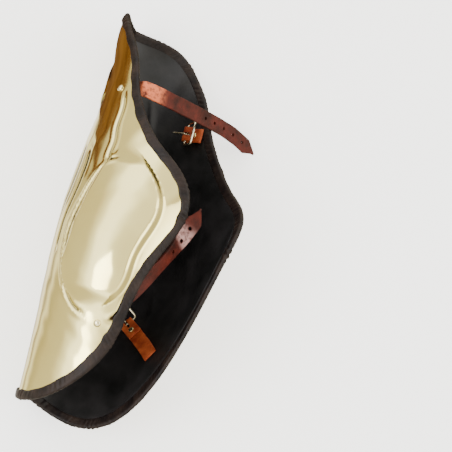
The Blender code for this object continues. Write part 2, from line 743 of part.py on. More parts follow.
def main():
    for old in list(bpy.data.objects):
        bpy.data.objects.remove(old)
    for name in ("greave", "cutters"):
        bpy.context.scene.collection.children.link(bpy.data.collections.new(name))
    pose = bpy.data.objects.new("rest_pose", None)
    bpy.data.collections["greave"].objects.link(pose)

    brass = make_material("polished_brass", (0.80, 0.66, 0.34), 1.0, 0.15)
    lining_leather = make_material("black_leather", (0.012, 0.011, 0.012), 0.0, 0.45)
    binding_leather = make_material("dark_brown_leather", (0.035, 0.024, 0.018), 0.0, 0.55)
    strap_leather = make_material("red_brown_leather", (0.16, 0.035, 0.018), 0.0, 0.55)
    tab_leather = make_material("orange_brown_leather", (0.40, 0.10, 0.035), 0.0, 0.55)
    steel = make_material("pale_brass_wire", (0.78, 0.72, 0.55), 1.0, 0.25)

    shell = make_shell(brass, pose)
    lining = make_lining(lining_leather, pose)
    make_binding(binding_leather, pose)

    upper_tab_rivet = on_tab(UPPER_BAR, UPPER_TAB_SLOPE, UPPER_TAB_RIVET)
    lower_stud = on_tab(LOWER_BAR, LOWER_TAB_SLOPE, LOWER_TAB_STUD)
    upper_root = (UPPER_ROOT[0] * WRAP, UPPER_ROOT[1] * LENGTH)
    lower_root = (LOWER_ROOT[0] * WRAP, LOWER_ROOT[1] * LENGTH)
    through_strap = INSIDE + STRAP + 3 * GAP
    through_tab = INSIDE + TAB + 4 * GAP
    fold_depth = INSIDE + 3 * TAB + WIRE + 6 * GAP
    rivets = {
        "rivet_strap_upper": (upper_root, through_strap),
        "rivet_strap_lower": (lower_root, through_strap + STRAP_EASE),
        "rivet_buckle_upper": (upper_tab_rivet, through_tab),
        "stud_buckle_lower": (lower_stud, fold_depth),
    }
    for number, (arc, height) in enumerate(SIDE_RIVETS, start=1):
        rivets[f"rivet_side_{number}"] = ((arc * WRAP, height * LENGTH), 0.0)
    holes = {}
    for name, (where, depth) in rivets.items():
        make_rivet(name, *where, depth, brass, pose)
        holes[name] = rivet_hole(f"{name}_hole", *where, pose)
    drill(shell, holes.values())
    drill(lining, [hole for name, hole in holes.items() if rivets[name][1]])

    make_strap("upper_strap", upper_route(), 34, 5, strap_leather, pose, holes["rivet_strap_upper"])
    make_strap("lower_strap", lower_route(), 26, 3, strap_leather, pose, holes["rivet_strap_lower"])

    upper = (UPPER_BAR, UPPER_TAB_SLOPE, UPPER_TAB)
    lower = (LOWER_BAR, LOWER_TAB_SLOPE, LOWER_TAB)
    make_tab("upper_tab", *upper, [holes["rivet_buckle_upper"]], tab_leather, pose)
    make_tab("lower_tab", *lower, [holes["stud_buckle_lower"]], tab_leather, pose)
    make_buckle("upper_buckle", *upper, True, UPPER_FRAME_RAISE, UPPER_PRONG_SLOPE, steel, pose)
    make_buckle("lower_buckle", *lower, False, LOWER_FRAME_RAISE, LOWER_PRONG_SLOPE, steel, pose)

    lay_down(pose)


main()
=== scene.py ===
"""The looks of the greave: polished brass, a black lining, a gathered binding, straps and buckles.

Every piece is worked out on the same sheet as the solids. A point of the sheet is given by its arc, the
way round the leg from the shin ridge (+ to the wing that carries the straps), its height above the
ankle, and its level above the brass's outer face. Lengths are in metres.
"""

import logging
import math
from collections.abc import Callable
from dataclasses import dataclass, field, replace
from enum import Enum
from typing import ClassVar

import bpy
import numpy as np
from mathutils import Matrix, Vector

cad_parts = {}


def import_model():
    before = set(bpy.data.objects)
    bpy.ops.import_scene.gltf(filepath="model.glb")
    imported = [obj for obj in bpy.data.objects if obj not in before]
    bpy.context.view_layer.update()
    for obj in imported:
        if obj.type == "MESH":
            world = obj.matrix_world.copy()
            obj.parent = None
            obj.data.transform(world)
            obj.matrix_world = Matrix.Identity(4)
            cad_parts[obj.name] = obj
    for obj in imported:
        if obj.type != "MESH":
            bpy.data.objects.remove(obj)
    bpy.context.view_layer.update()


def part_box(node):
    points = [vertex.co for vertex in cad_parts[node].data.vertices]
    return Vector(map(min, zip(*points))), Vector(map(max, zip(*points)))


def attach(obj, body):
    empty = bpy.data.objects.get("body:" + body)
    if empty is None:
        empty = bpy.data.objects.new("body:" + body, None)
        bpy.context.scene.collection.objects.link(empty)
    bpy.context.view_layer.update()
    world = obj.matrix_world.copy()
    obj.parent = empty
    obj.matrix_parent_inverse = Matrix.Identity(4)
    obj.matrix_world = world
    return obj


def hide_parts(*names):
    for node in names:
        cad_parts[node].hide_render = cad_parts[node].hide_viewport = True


log = logging.getLogger("greave")

# A function from rows of places to rows of values
Rows = Callable[[np.ndarray], np.ndarray]

# Overall sizes of the sheet
LENGTH = 0.425
HALF_WIDTH = 0.088
RIDGE_SWEEP = 0.020
WRAP = 0.232
WING_TURN = math.radians(290.0)
RIDGE_ANGLE = math.radians(12.0)
TURN_BLEND = 0.012

# The far wing, without the straps, is slimmer and turns in less, as the inner side of a calf does
FAR_SLIMNESS = 0.70
FAR_OPENNESS = 0.35

# Walls and clearances
BRASS = 0.0012
GAP = 0.0003
GLUE_LINE = 0.0006
LINING = 0.0020
BINDING = 0.0015
BINDING_WIDTH = 0.0065
LINING_CLEARANCE = 0.0012
SEAT = 0.0006
INSIDE = BRASS + GLUE_LINE + LINING + SEAT

# Relief of the sheet
BOSS_RADIUS = 0.028
BOSS_RISE = 0.0050
KNEE_RADIUS = 0.041
KNEE_RISE = 0.0030
CALF_RISE = 0.005
CREASE = 0.005

# Straps. The upper one leaves the wing at its rim, slants up over the opening with a bow, and its free end
# rises off the other rim and drops toward the ankle
STRAP_WIDTH = 0.016
STRAP = 0.0030
STRAP_POINT = 0.014
STRAP_BOW = 0.002
STRAP_TAIL = 0.068
STRAP_TAIL_RISE = 0.007
STRAP_TAIL_DROP = 0.012
STRAP_LEAVE = 0.0045
STRAP_TURN = 0.008
STRAP_SLANT = 0.018
STRAP_EASE = 0.0008
HOLE = 0.0036
HOLE_PITCH = 0.016

# Way that the lower strap's free end faces once it is clear of the rim: across, back and up the leg
LOWER_STRAP_LOOK = (0.73, 0.64, -0.24)

# Buckles and their tabs
WIRE = 0.0024
PRONG = 0.0018
BUCKLE_WIDTH = 0.024
BUCKLE_DEPTH = 0.014
BUCKLE_CORNER = 0.003
TAB_WIDTH = 0.015
TAB = 0.0022
TAB_EASE = 0.0005
SLOT_EASE = 0.0007
TAB_FOLD = WIRE / 2 + GAP + TAB / 2
TAB_LIFT = GAP + TAB / 2 + TAB_EASE
UPPER_TAB = 0.018
UPPER_TAB_RIVET = 0.009
LOWER_TAB = 0.056
LOWER_TAB_STUD = 0.015

# How far each frame stands up from its tab, and the slope of each prong
UPPER_FRAME_RAISE = math.radians(29.0)
LOWER_FRAME_RAISE = math.radians(52.0)
UPPER_PRONG_SLOPE = 0.1
LOWER_PRONG_SLOPE = 0.5

# Rivets
RIVET_HEAD = 0.0036
RIVET_RISE = 0.0022
RIVET_SHANK = 0.0015
RIVET_CLENCH = 0.0028
RIVET_CLENCH_RISE = 0.0010

# Turn about the leg's length and about the ankle that the greave takes when it lies by itself
REST_ROLL = math.radians(44.6)
REST_PITCH = math.radians(3.7)

# Sections of the sheet: height as a share of LENGTH, half width of HALF_WIDTH, depth of the ridge of
# RIDGE_SWEEP, and how fast the wings turn in, of WING_TURN
SECTIONS = np.array(
    [
        # height, half_width, ridge, wing_turn
        (0.00, 0.55, 1.20, 0.25),
        (0.10, 0.65, 1.00, 0.60),
        (0.25, 0.90, 0.65, 1.00),
        (0.40, 1.00, 0.20, 0.90),
        (0.55, 0.90, -0.10, 0.50),
        (0.70, 0.80, -0.10, 0.10),
        (0.85, 0.75, -0.40, -0.10),
        (0.94, 0.80, -0.70, -0.05),
        (1.00, 0.90, -0.10, 0.05),
    ]
)

# Half of the rim, from the middle of the ankle edge to the top of the knee: arc as a share of WRAP
# and height as a share of LENGTH
RIM = np.array(
    [
        # arc, height
        (0.00, 0.025),
        (0.12, 0.01),
        (0.30, 0.00),
        (0.45, 0.03),
        (0.60, 0.10),
        (0.75, 0.20),
        (0.87, 0.31),
        (0.96, 0.40),
        (0.99, 0.48),
        (0.90, 0.56),
        (0.74, 0.62),
        (0.60, 0.69),
        (0.50, 0.76),
        (0.44, 0.83),
        (0.35, 0.91),
        (0.20, 0.96),
        (0.00, 0.96),
    ]
)
ANKLE_CORNER = 4
KNEE_CORNER = 14

# The raised calf: height as a share of LENGTH, and its front and rear edge as shares of WRAP
CALF = np.array(
    [
        # height, front, rear
        (0.20, 0.60, 0.60),
        (0.25, 0.49, 0.75),
        (0.35, 0.48, 0.85),
        (0.45, 0.51, 0.90),
        (0.55, 0.54, 0.80),
        (0.62, 0.60, 0.60),
    ]
)
KNEE_HEIGHT = 0.78

# Where the straps and buckles are fixed: arc as a share of WRAP, height as a share of LENGTH
UPPER_ROOT = (0.40, 0.75)
LOWER_ROOT = (0.65, 0.19)
UPPER_BAR = (-0.40, 0.75)
UPPER_TAB_SLOPE = math.radians(4.0)
LOWER_BAR = (-0.38, 0.26)
LOWER_TAB_SLOPE = math.radians(-31.0)
SIDE_RIVETS = ((-0.37, 0.36), (-0.41, 0.09))

# Smooth lines: their rows are spaced by this power of their distance, which keeps a line from looping
# between close rows, and a line has so many points before they are evened out
ROW_SPACING = 0.75
LINE_POINTS = 1200
RIM_POINTS = 4000


class WallFace(Enum):
    """The side of a wall that carries the fine surface."""

    OUTER = "outer"
    INNER = "inner"


class Stroke(Enum):
    """How a chased line was struck: its depth, its width and its lip's share of the depth."""

    DEEP = (0.0016, 0.0021, 0.40)
    FIRM = (0.0009, 0.0022, 0.35)
    SOFT = (0.0006, 0.0030, 0.30)

    @property
    def depth(self) -> float:
        """The groove's depth."""
        return self.value[0]

    @property
    def width(self) -> float:
        """The groove's half width."""
        return self.value[1]

    @property
    def lip(self) -> float:
        """The rise of the brass beside the groove, as a share of its depth."""
        return self.value[2]


@dataclass(frozen=True)
class ChasedLine:
    """A groove hammered into both wings along a smooth line, with raised brass beside it.

    The line's points are (arc, height) as shares of WRAP and LENGTH.
    """

    stroke: Stroke
    points: tuple[tuple[float, float], ...]


CHASED_LINES = (
    # From the knee rivet down to the top of the calf
    ChasedLine(
        Stroke.DEEP,
        ((0.44, 0.74), (0.48, 0.70), (0.50, 0.65), (0.53, 0.61), (0.54, 0.58), (0.56, 0.55)),
    ),
    # The calf's front edge, from its top corner down to its foot
    ChasedLine(
        Stroke.DEEP,
        ((0.62, 0.57), (0.56, 0.55), (0.52, 0.50), (0.50, 0.45), (0.48, 0.40), (0.47, 0.35), (0.48, 0.30),
         (0.50, 0.25), (0.55, 0.21), (0.60, 0.20)),
    ),
    # A second line beside the calf's front edge
    ChasedLine(
        Stroke.FIRM,
        ((0.38, 0.60), (0.41, 0.55), (0.42, 0.50), (0.41, 0.45), (0.39, 0.40), (0.38, 0.33)),
    ),
    ChasedLine(Stroke.SOFT, ((0.30, 0.62), (0.33, 0.55), (0.33, 0.48), (0.30, 0.40), (0.28, 0.30))),
    # The calf's foot, behind the lower strap's rivet
    ChasedLine(Stroke.FIRM, ((0.68, 0.20), (0.72, 0.21), (0.76, 0.23), (0.79, 0.26))),
    # The line over the knee cap and the ledge under it
    ChasedLine(Stroke.SOFT, ((0.00, 0.85), (0.10, 0.85), (0.16, 0.82), (0.18, 0.78))),
    ChasedLine(Stroke.FIRM, ((0.00, 0.71), (0.09, 0.72), (0.16, 0.74), (0.20, 0.77))),
)


def spline(places: np.ndarray, values: np.ndarray) -> Rows:
    """A natural cubic spline through rows of values.

    Args:
        places: Where each row is, rising.
        values: One row of numbers for each place.

    Returns:
        A function from places to rows of values.
    """
    places = np.asarray(places, float)
    values = np.asarray(values, float).reshape(len(places), -1)
    step = np.diff(places)
    slope = np.diff(values, axis=0) / step[:, None]
    bend = np.zeros_like(values)
    matrix = np.diag(2 * (step[:-1] + step[1:])) + np.diag(step[1:-1], 1) + np.diag(step[1:-1], -1)
    bend[1:-1] = np.linalg.solve(matrix, 6 * np.diff(slope, axis=0))

    def at(where: np.ndarray) -> np.ndarray:
        """Rows of values at the given places."""
        where = np.asarray(where, float)
        i = np.clip(np.searchsorted(places, where) - 1, 0, len(step) - 1)
        x = (where - places[i])[..., None]
        h = step[i][..., None]
        start = slope[i] - h * (2 * bend[i] + bend[i + 1]) / 6
        return values[i] + x * (start + x * (bend[i] / 2 + x * (bend[i + 1] - bend[i]) / (6 * h)))

    return at


def run_of(points: np.ndarray, power: float = 1.0) -> np.ndarray:
    """The distance along a line at each of its points, with each step raised to a power."""
    return np.r_[0, np.cumsum(np.linalg.norm(np.diff(points, axis=0), axis=1) ** power)]


def sampled(points: np.ndarray, run: np.ndarray, where: np.ndarray) -> np.ndarray:
    """Rows of a line at the given distances along it, straight between its points."""
    return np.stack([np.interp(where, run, column) for column in points.T], axis=-1)


def evenly(points: np.ndarray, count: int) -> np.ndarray:
    """Points at even distances along a dense line, ends included."""
    run = run_of(points)
    return sampled(points, run, np.linspace(0, run[-1], count))


def through(points: np.ndarray, count: int) -> np.ndarray:
    """Evenly spaced points on a smooth curve through the given ones.

    Args:
        points: Rows of coordinates, in order.
        count: How many points to return.

    Returns:
        The evenly spaced rows.
    """
    place = run_of(points, ROW_SPACING)
    return evenly(spline(place, points)(np.linspace(0, place[-1], LINE_POINTS)), count)


def step_up(distance: np.ndarray, width: float) -> np.ndarray:
    """0 before an edge and 1 past it: 3x² − 2x³ of the distance over the width."""
    x = np.clip(distance / width + 0.5, 0, 1)
    return x * x * (3 - 2 * x)


def ripple(where: np.ndarray, waves: int, shortest: float, longest: float, seed: int) -> np.ndarray:
    """An uneven wave in about −1 to 1: a sum of sines of fixed random lengths and phases.

    Args:
        where: Distances along the line, in metres.
        waves: How many sines are summed.
        shortest: The shortest wave length, in metres.
        longest: The longest wave length, in metres.
        seed: Picks the random lengths and phases.

    Returns:
        The wave's height at each distance.
    """
    chance = np.random.default_rng(seed)
    lengths = np.exp(chance.uniform(math.log(shortest), math.log(longest), waves))
    phases = chance.uniform(0, 2 * math.pi, waves)
    total = sum(np.sin(2 * math.pi * where / one + phase) for one, phase in zip(lengths, phases))
    return total / math.sqrt(waves)


@dataclass
class LegSheet:
    """The sheet that the shell, lining and binding follow, in the leg's own frame: across, back, up."""

    section_at: Rows = field(init=False)
    calf_at: Rows = field(init=False)
    steps: int = 32

    def __post_init__(self) -> None:
        """Makes the splines of the two tables."""
        scale = (HALF_WIDTH, RIDGE_SWEEP, WING_TURN / WRAP)
        self.section_at = spline(SECTIONS[:, 0] * LENGTH, SECTIONS[:, 1:] * scale)
        self.calf_at = spline(CALF[:, 0] * LENGTH, CALF[:, 1:] * WRAP)

    def leaf(self, arc: np.ndarray, height: np.ndarray) -> np.ndarray:
        """The plain sheet: its direction turns evenly round the front, then more slowly along the wing.

        Args:
            arc: Arc from the ridge, in metres.
            height: Height above the ankle, in metres.

        Returns:
            Points in the leg's frame.
        """
        arc, height = np.broadcast_arrays(np.asarray(arc, float), np.asarray(height, float))
        half_width, ridge, wing_turn = np.moveaxis(self.section_at(height), -1, 0)
        half_width = half_width * np.where(arc < 0, FAR_SLIMNESS, 1.0)
        wing_turn = wing_turn * np.where(arc < 0, FAR_OPENNESS, 1.0)
        front_turn = (1 - math.sin(RIDGE_ANGLE)) / half_width
        to_wing = (math.pi / 2 - RIDGE_ANGLE) / front_turn
        steps = (np.arange(self.steps) + 0.5) / self.steps
        along = np.abs(arc)[..., None] * steps
        past = TURN_BLEND * np.logaddexp(0, (along - to_wing[..., None]) / TURN_BLEND)
        turned = RIDGE_ANGLE + front_turn[..., None] * along - (front_turn - wing_turn)[..., None] * past
        across = arc * np.cos(turned).mean(axis=-1)
        back = ridge + np.abs(arc) * np.sin(turned).mean(axis=-1)
        return np.stack([across, back, height], axis=-1)

    def outward(self, arc: np.ndarray, height: np.ndarray) -> np.ndarray:
        """The unit normal away from the leg, the cross product of small steps round and up the leg."""
        small = 0.0004
        on_ridge = np.abs(np.asarray(arc, float)) < 1e-6
        arc = np.where(np.abs(arc) < small, small, arc)
        round_leg = self.leaf(arc + small, height) - self.leaf(arc - small, height)
        up_leg = self.leaf(arc, height + small) - self.leaf(arc, height - small)
        normal = np.cross(round_leg, up_leg)
        normal[on_ridge, 0] = 0
        return normal / np.linalg.norm(normal, axis=-1, keepdims=True)

    def relief(self, arc: np.ndarray, height: np.ndarray) -> np.ndarray:
        """How far the sheet is raised: the knee cap with its boss, and the calf muscle of each side."""
        arc = np.abs(arc)
        from_knee = np.hypot(arc, height - KNEE_HEIGHT * LENGTH)
        boss = BOSS_RISE * np.clip(1 - (from_knee / BOSS_RADIUS) ** 2, 0, 1) ** 1.5
        cap = KNEE_RISE * step_up(KNEE_RADIUS - from_knee, 2 * CREASE)
        lowest, highest = CALF[0, 0] * LENGTH, CALF[-1, 0] * LENGTH
        front, rear = np.moveaxis(self.calf_at(np.clip(height, lowest, highest)), -1, 0)
        middle, half = (front + rear) / 2, np.maximum((rear - front) / 2, CREASE)
        level = (height - (lowest + highest) / 2) / ((highest - lowest) / 2)
        reach = 1 - np.maximum(np.abs(arc - middle) / half, np.abs(level))
        return boss + cap + CALF_RISE * step_up(reach * half - CREASE, 2 * CREASE)

    def surface(self, domain: np.ndarray, level: np.ndarray | float) -> np.ndarray:
        """Points at a level above the plain sheet, for rows of arc and height."""
        arc, height = domain[..., 0], domain[..., 1]
        lift = np.broadcast_to(np.asarray(level, float), arc.shape)
        return self.leaf(arc, height) + lift[..., None] * self.outward(arc, height)

    def point(self, arc: float, height: float, level: float) -> np.ndarray:
        """One point of the sheet at a level."""
        return self.surface(np.array([[arc, height]]), level)[0]

    def inside(self, arc: float, height: float, lift: float) -> np.ndarray:
        """A point inside the leg's hollow, a lift clear of the lining."""
        return self.point(arc, height, -INSIDE - lift)

    def facing(self, arc: float, height: float) -> np.ndarray:
        """The normal at one place."""
        return self.outward(np.array([arc]), np.array([height]))[0]


@dataclass
class Rim:
    """The rim of the sheet, as lines in arc and height."""

    dense: np.ndarray = field(init=False)
    corners: tuple[int, int] = field(init=False)

    def __post_init__(self) -> None:
        """Makes the dense line of the + side, from the ankle to the knee, and finds its two corners."""
        rows = RIM * (WRAP, LENGTH)
        mirrored = np.vstack([rows[1] * (-1, 1), rows, rows[-2] * (-1, 1)])
        place = run_of(mirrored, ROW_SPACING)
        self.dense = spline(place, mirrored)(np.linspace(place[1], place[-2], RIM_POINTS))
        self.corners = tuple(
            int(np.argmin(np.linalg.norm(self.dense - rows[k], axis=1))) for k in (ANKLE_CORNER, KNEE_CORNER)
        )

    def loop(self, cells: tuple[int, int]) -> np.ndarray:
        """The rim as one closed line of points, anticlockwise seen from outside the leg.

        Args:
            cells: Cells across and along the sheet.

        Returns:
            Twice as many points as there are cells across and along.
        """
        across, along = cells
        low, high = self.corners
        ankle = evenly(self.dense[: low + 1], across // 2 + 1)
        side = evenly(self.dense[low : high + 1], along + 1)
        knee = evenly(self.dense[high:], across // 2 + 1)[::-1]
        ankle = np.vstack([ankle[:0:-1] * (-1, 1), ankle])
        knee = np.vstack([knee[:0:-1] * (-1, 1), knee])
        return np.vstack([ankle[:-1], side[:-1], knee[:0:-1], (side * (-1, 1))[:0:-1]])

    def even_loop(self, count: int) -> np.ndarray:
        """The rim as one closed line of evenly spaced points, anticlockwise from outside."""
        whole = np.vstack([self.dense, self.dense[-2::-1] * (-1, 1)])
        return evenly(whole, count + 1)[:-1]

    def arc_at(self, height: float) -> float:
        """The rim's arc at a height, on the upper half of the side."""
        upper = self.dense[np.argmax(self.dense[:, 0]) :]
        return float(np.interp(height, upper[:, 1], upper[:, 0]))


def inset(loop: np.ndarray, distance: np.ndarray | float) -> np.ndarray:
    """A closed line moved inwards by a distance, across the way from its last to its next point."""
    ahead = np.roll(loop, -1, axis=0) - np.roll(loop, 1, axis=0)
    ahead /= np.linalg.norm(ahead, axis=1, keepdims=True)
    distance = np.broadcast_to(np.asarray(distance, float), len(loop))[:, None]
    return loop + distance * np.stack([-ahead[:, 1], ahead[:, 0]], axis=1)


def filled(loop: np.ndarray, cells: tuple[int, int]) -> np.ndarray:
    """A grid inside a closed line.

    The blend of its left and right sides and that of its two ends are added, and the blend of its
    corners, which both hold, is taken off.

    Args:
        loop: The closed line, from its first corner along the ankle.
        cells: Cells across and along the grid.

    Returns:
        Rows and columns of points.
    """
    across, along = cells
    low, high, last = across, across + along, 2 * across + along
    loop = np.vstack([loop, loop[:1]])
    ankle, right = loop[: low + 1], loop[low : high + 1]
    knee, left = loop[high : last + 1][::-1], loop[last:][::-1]
    u = np.linspace(0, 1, across + 1)[None, :, None]
    v = np.linspace(0, 1, along + 1)[:, None, None]
    sides = (1 - u) * left[:, None] + u * right[:, None]
    ends = (1 - v) * ankle[None] + v * knee[None]
    low_corners = (1 - u) * (1 - v) * ankle[0] + u * (1 - v) * ankle[-1]
    high_corners = (1 - u) * v * knee[0] + u * v * knee[-1]
    return sides + ends - low_corners - high_corners


def grid_quads(rows: int, columns: int, closed: bool = False) -> np.ndarray:
    """The four corner numbers of each cell of a grid; closed joins the last column to the first."""
    i, j = np.meshgrid(np.arange(rows - 1), np.arange(columns if closed else columns - 1), indexing="ij")
    a = i * columns + j
    b = i * columns + (j + 1) % columns
    return np.stack([a, b, b + columns, a + columns], axis=-1).reshape(-1, 4)


def grid_border(rows: int, columns: int) -> np.ndarray:
    """The point numbers round a grid, anticlockwise from its first point."""
    low = np.arange(columns - 1)
    right = np.arange(rows - 1) * columns + columns - 1
    high = (rows - 1) * columns + np.arange(columns - 1, 0, -1)
    left = np.arange(rows - 1, 0, -1) * columns
    return np.concatenate([low, right, high, left])


@dataclass
class Ground:
    """Where the leg's frame lies in the row's frame: a turn, then a move."""

    turn: np.ndarray = field(init=False)
    move: np.ndarray = field(default_factory=lambda: np.zeros(3))

    def __post_init__(self) -> None:
        """Makes the turn: the leg is laid flat, rolled about its length and tipped about the ankle."""
        flat = Matrix(((-1, 0, 0), (0, 0, 1), (0, 1, 0)))
        turn = Matrix.Rotation(REST_PITCH, 3, "X") @ Matrix.Rotation(REST_ROLL, 3, "Y") @ flat
        self.turn = np.array(turn)

    def fit(self, points: np.ndarray, node: str) -> None:
        """Sets the move so that the turned points fill the box of a CAD node."""
        low, high = (np.array(corner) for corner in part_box(node))
        turned = points @ self.turn.T
        self.move = ((low - turned.min(axis=0)) + (high - turned.max(axis=0))) / 2

    def place(self, points: np.ndarray) -> np.ndarray:
        """Points of the leg's frame, in the row's frame."""
        return points @ self.turn.T + self.move

    def direction(self, vector: np.ndarray) -> np.ndarray:
        """A direction of the leg's frame, or rows of them, in the row's frame."""
        return np.asarray(vector, float) @ self.turn.T


def oriented(points: np.ndarray, faces: list[np.ndarray]) -> list[np.ndarray]:
    """Turns a closed mesh's faces outwards: its volume, summed over the faces' fans, has to be positive."""
    volume = 0.0
    for group in faces:
        first = points[group[:, 0]]
        for k in range(1, group.shape[1] - 1):
            cross = np.cross(points[group[:, k]], points[group[:, k + 1]])
            volume += np.einsum("ij,ij->i", first, cross).sum()
    return faces if volume > 0 else [group[:, ::-1] for group in faces]


@dataclass
class Piece:
    """A mesh of the greave, with the node that it stands for and its finish."""

    name: str
    slot: str
    material: bpy.types.Material
    node: str
    sharp: float = 40.0

    def build(
        self, points: np.ndarray, faces: list[np.ndarray], shade: np.ndarray | None = None
    ) -> bpy.types.Object:
        """Puts points and faces into a mesh and hands it to the frame.

        Args:
            points: Rows of coordinates in the row's frame.
            faces: Arrays of corner numbers, one array for each number of corners.
            shade: One number for each point, kept as the attribute "worn" for the material: the shell's
                groove tarnish, and a strap's paler stretch, which on the lower strap is a painted highlight.

        Returns:
            The finished object.
        """
        faces = oriented(points, faces)
        mesh = bpy.data.meshes.new(self.name)
        mesh.vertices.add(len(points))
        mesh.vertices.foreach_set("co", points.astype(np.float32).ravel())
        loops = np.concatenate([group.ravel() for group in faces])
        totals = np.concatenate([np.full(len(group), group.shape[1]) for group in faces])
        mesh.loops.add(len(loops))
        mesh.loops.foreach_set("vertex_index", loops.astype(np.int32))
        mesh.polygons.add(len(totals))
        starts = np.r_[0, np.cumsum(totals)[:-1]]
        mesh.polygons.foreach_set("loop_start", starts.astype(np.int32))
        mesh.polygons.foreach_set("loop_total", totals.astype(np.int32))
        mesh.update(calc_edges=True)
        mesh.validate()
        if shade is not None:
            wear_and_highlight = mesh.attributes.new("wear_and_highlight", "FLOAT", "POINT")
            wear_and_highlight.data.foreach_set("value", shade.astype(np.float32))
        mesh.shade_smooth()
        mesh.set_sharp_from_angle(angle=math.radians(self.sharp))
        piece = bpy.data.objects.new(self.name, mesh)
        bpy.context.scene.collection.objects.link(piece)
        return self.dress(piece)

    def dress(self, piece: bpy.types.Object) -> bpy.types.Object:
        """Gives an object this piece's finish, and its place in the frame."""
        piece.data.materials.clear()
        piece.data.materials.append(self.material)
        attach(piece, "root")
        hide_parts(self.node)
        log.info("%s: %d points", piece.name, len(piece.data.vertices))
        return piece


@dataclass
class Wall:
    """A wall over a region of the sheet: one face is fine and the other coarse, joined round the edge."""

    sheet: LegSheet
    cells: tuple[int, int]
    coarser: int
    fine_face: WallFace

    def build(
        self, domain: np.ndarray, fine_level: np.ndarray, coarse_level: Rows
    ) -> tuple[np.ndarray, list[np.ndarray]]:
        """Points and faces of the closed wall.

        Args:
            domain: The grid of arc and height.
            fine_level: The fine face's level at each point of the grid.
            coarse_level: A function from rows of arc and height to the coarse face's level.

        Returns:
            The points in the leg's frame, and arrays of faces.
        """
        rows, columns = domain.shape[:2]
        fine = self.sheet.surface(domain, fine_level).reshape(-1, 3)
        border = grid_border(rows, columns)
        edge_domain = domain.reshape(-1, 2)[border]
        edge = self.sheet.surface(edge_domain, coarse_level(edge_domain))
        few = domain[:: self.coarser, :: self.coarser]
        few_rows, few_columns = few.shape[:2]
        back = self.sheet.surface(few, coarse_level(few)).reshape(-1, 3)
        edge_start = len(fine)
        back_start = edge_start + len(edge)
        ring = np.arange(len(border))
        after = (ring + 1) % len(border)
        skirt = np.stack([border[ring], edge_start + ring, edge_start + after, border[after]], axis=1)
        numbers = back_start + np.arange(len(back))
        few_border = grid_border(few_rows, few_columns)
        numbers[few_border] = edge_start + np.arange(len(few_border)) * self.coarser
        back_quads = numbers[grid_quads(few_rows, few_columns)][:, ::-1]
        start = np.arange(len(few_border)) * self.coarser
        fans = []
        for k in range(1, self.coarser):
            steps = (start, start + k, (start + k + 1) % len(edge))
            fans.append(np.stack([edge_start + step for step in steps], axis=1))
        quads = [grid_quads(rows, columns), skirt, back_quads]
        triangles = np.concatenate(fans)[:, ::-1]
        quads = np.concatenate(quads)
        if self.fine_face is WallFace.INNER:
            quads, triangles = quads[:, ::-1], triangles[:, ::-1]
        points = np.concatenate([fine, edge, back])
        return self.compact(points, [quads, triangles])

    @staticmethod
    def compact(points: np.ndarray, faces: list[np.ndarray]) -> tuple[np.ndarray, list[np.ndarray]]:
        """Drops the points that no face uses."""
        used = np.unique(np.concatenate([group.ravel() for group in faces]))
        new = np.full(len(points), -1)
        new[used] = np.arange(len(used))
        return points[used], [new[group] for group in faces]


@dataclass
class SheetPiece:
    """What the pieces that cover the sheet share."""

    sheet: LegSheet
    rim: Rim
    ground: Ground
    material: bpy.types.Material


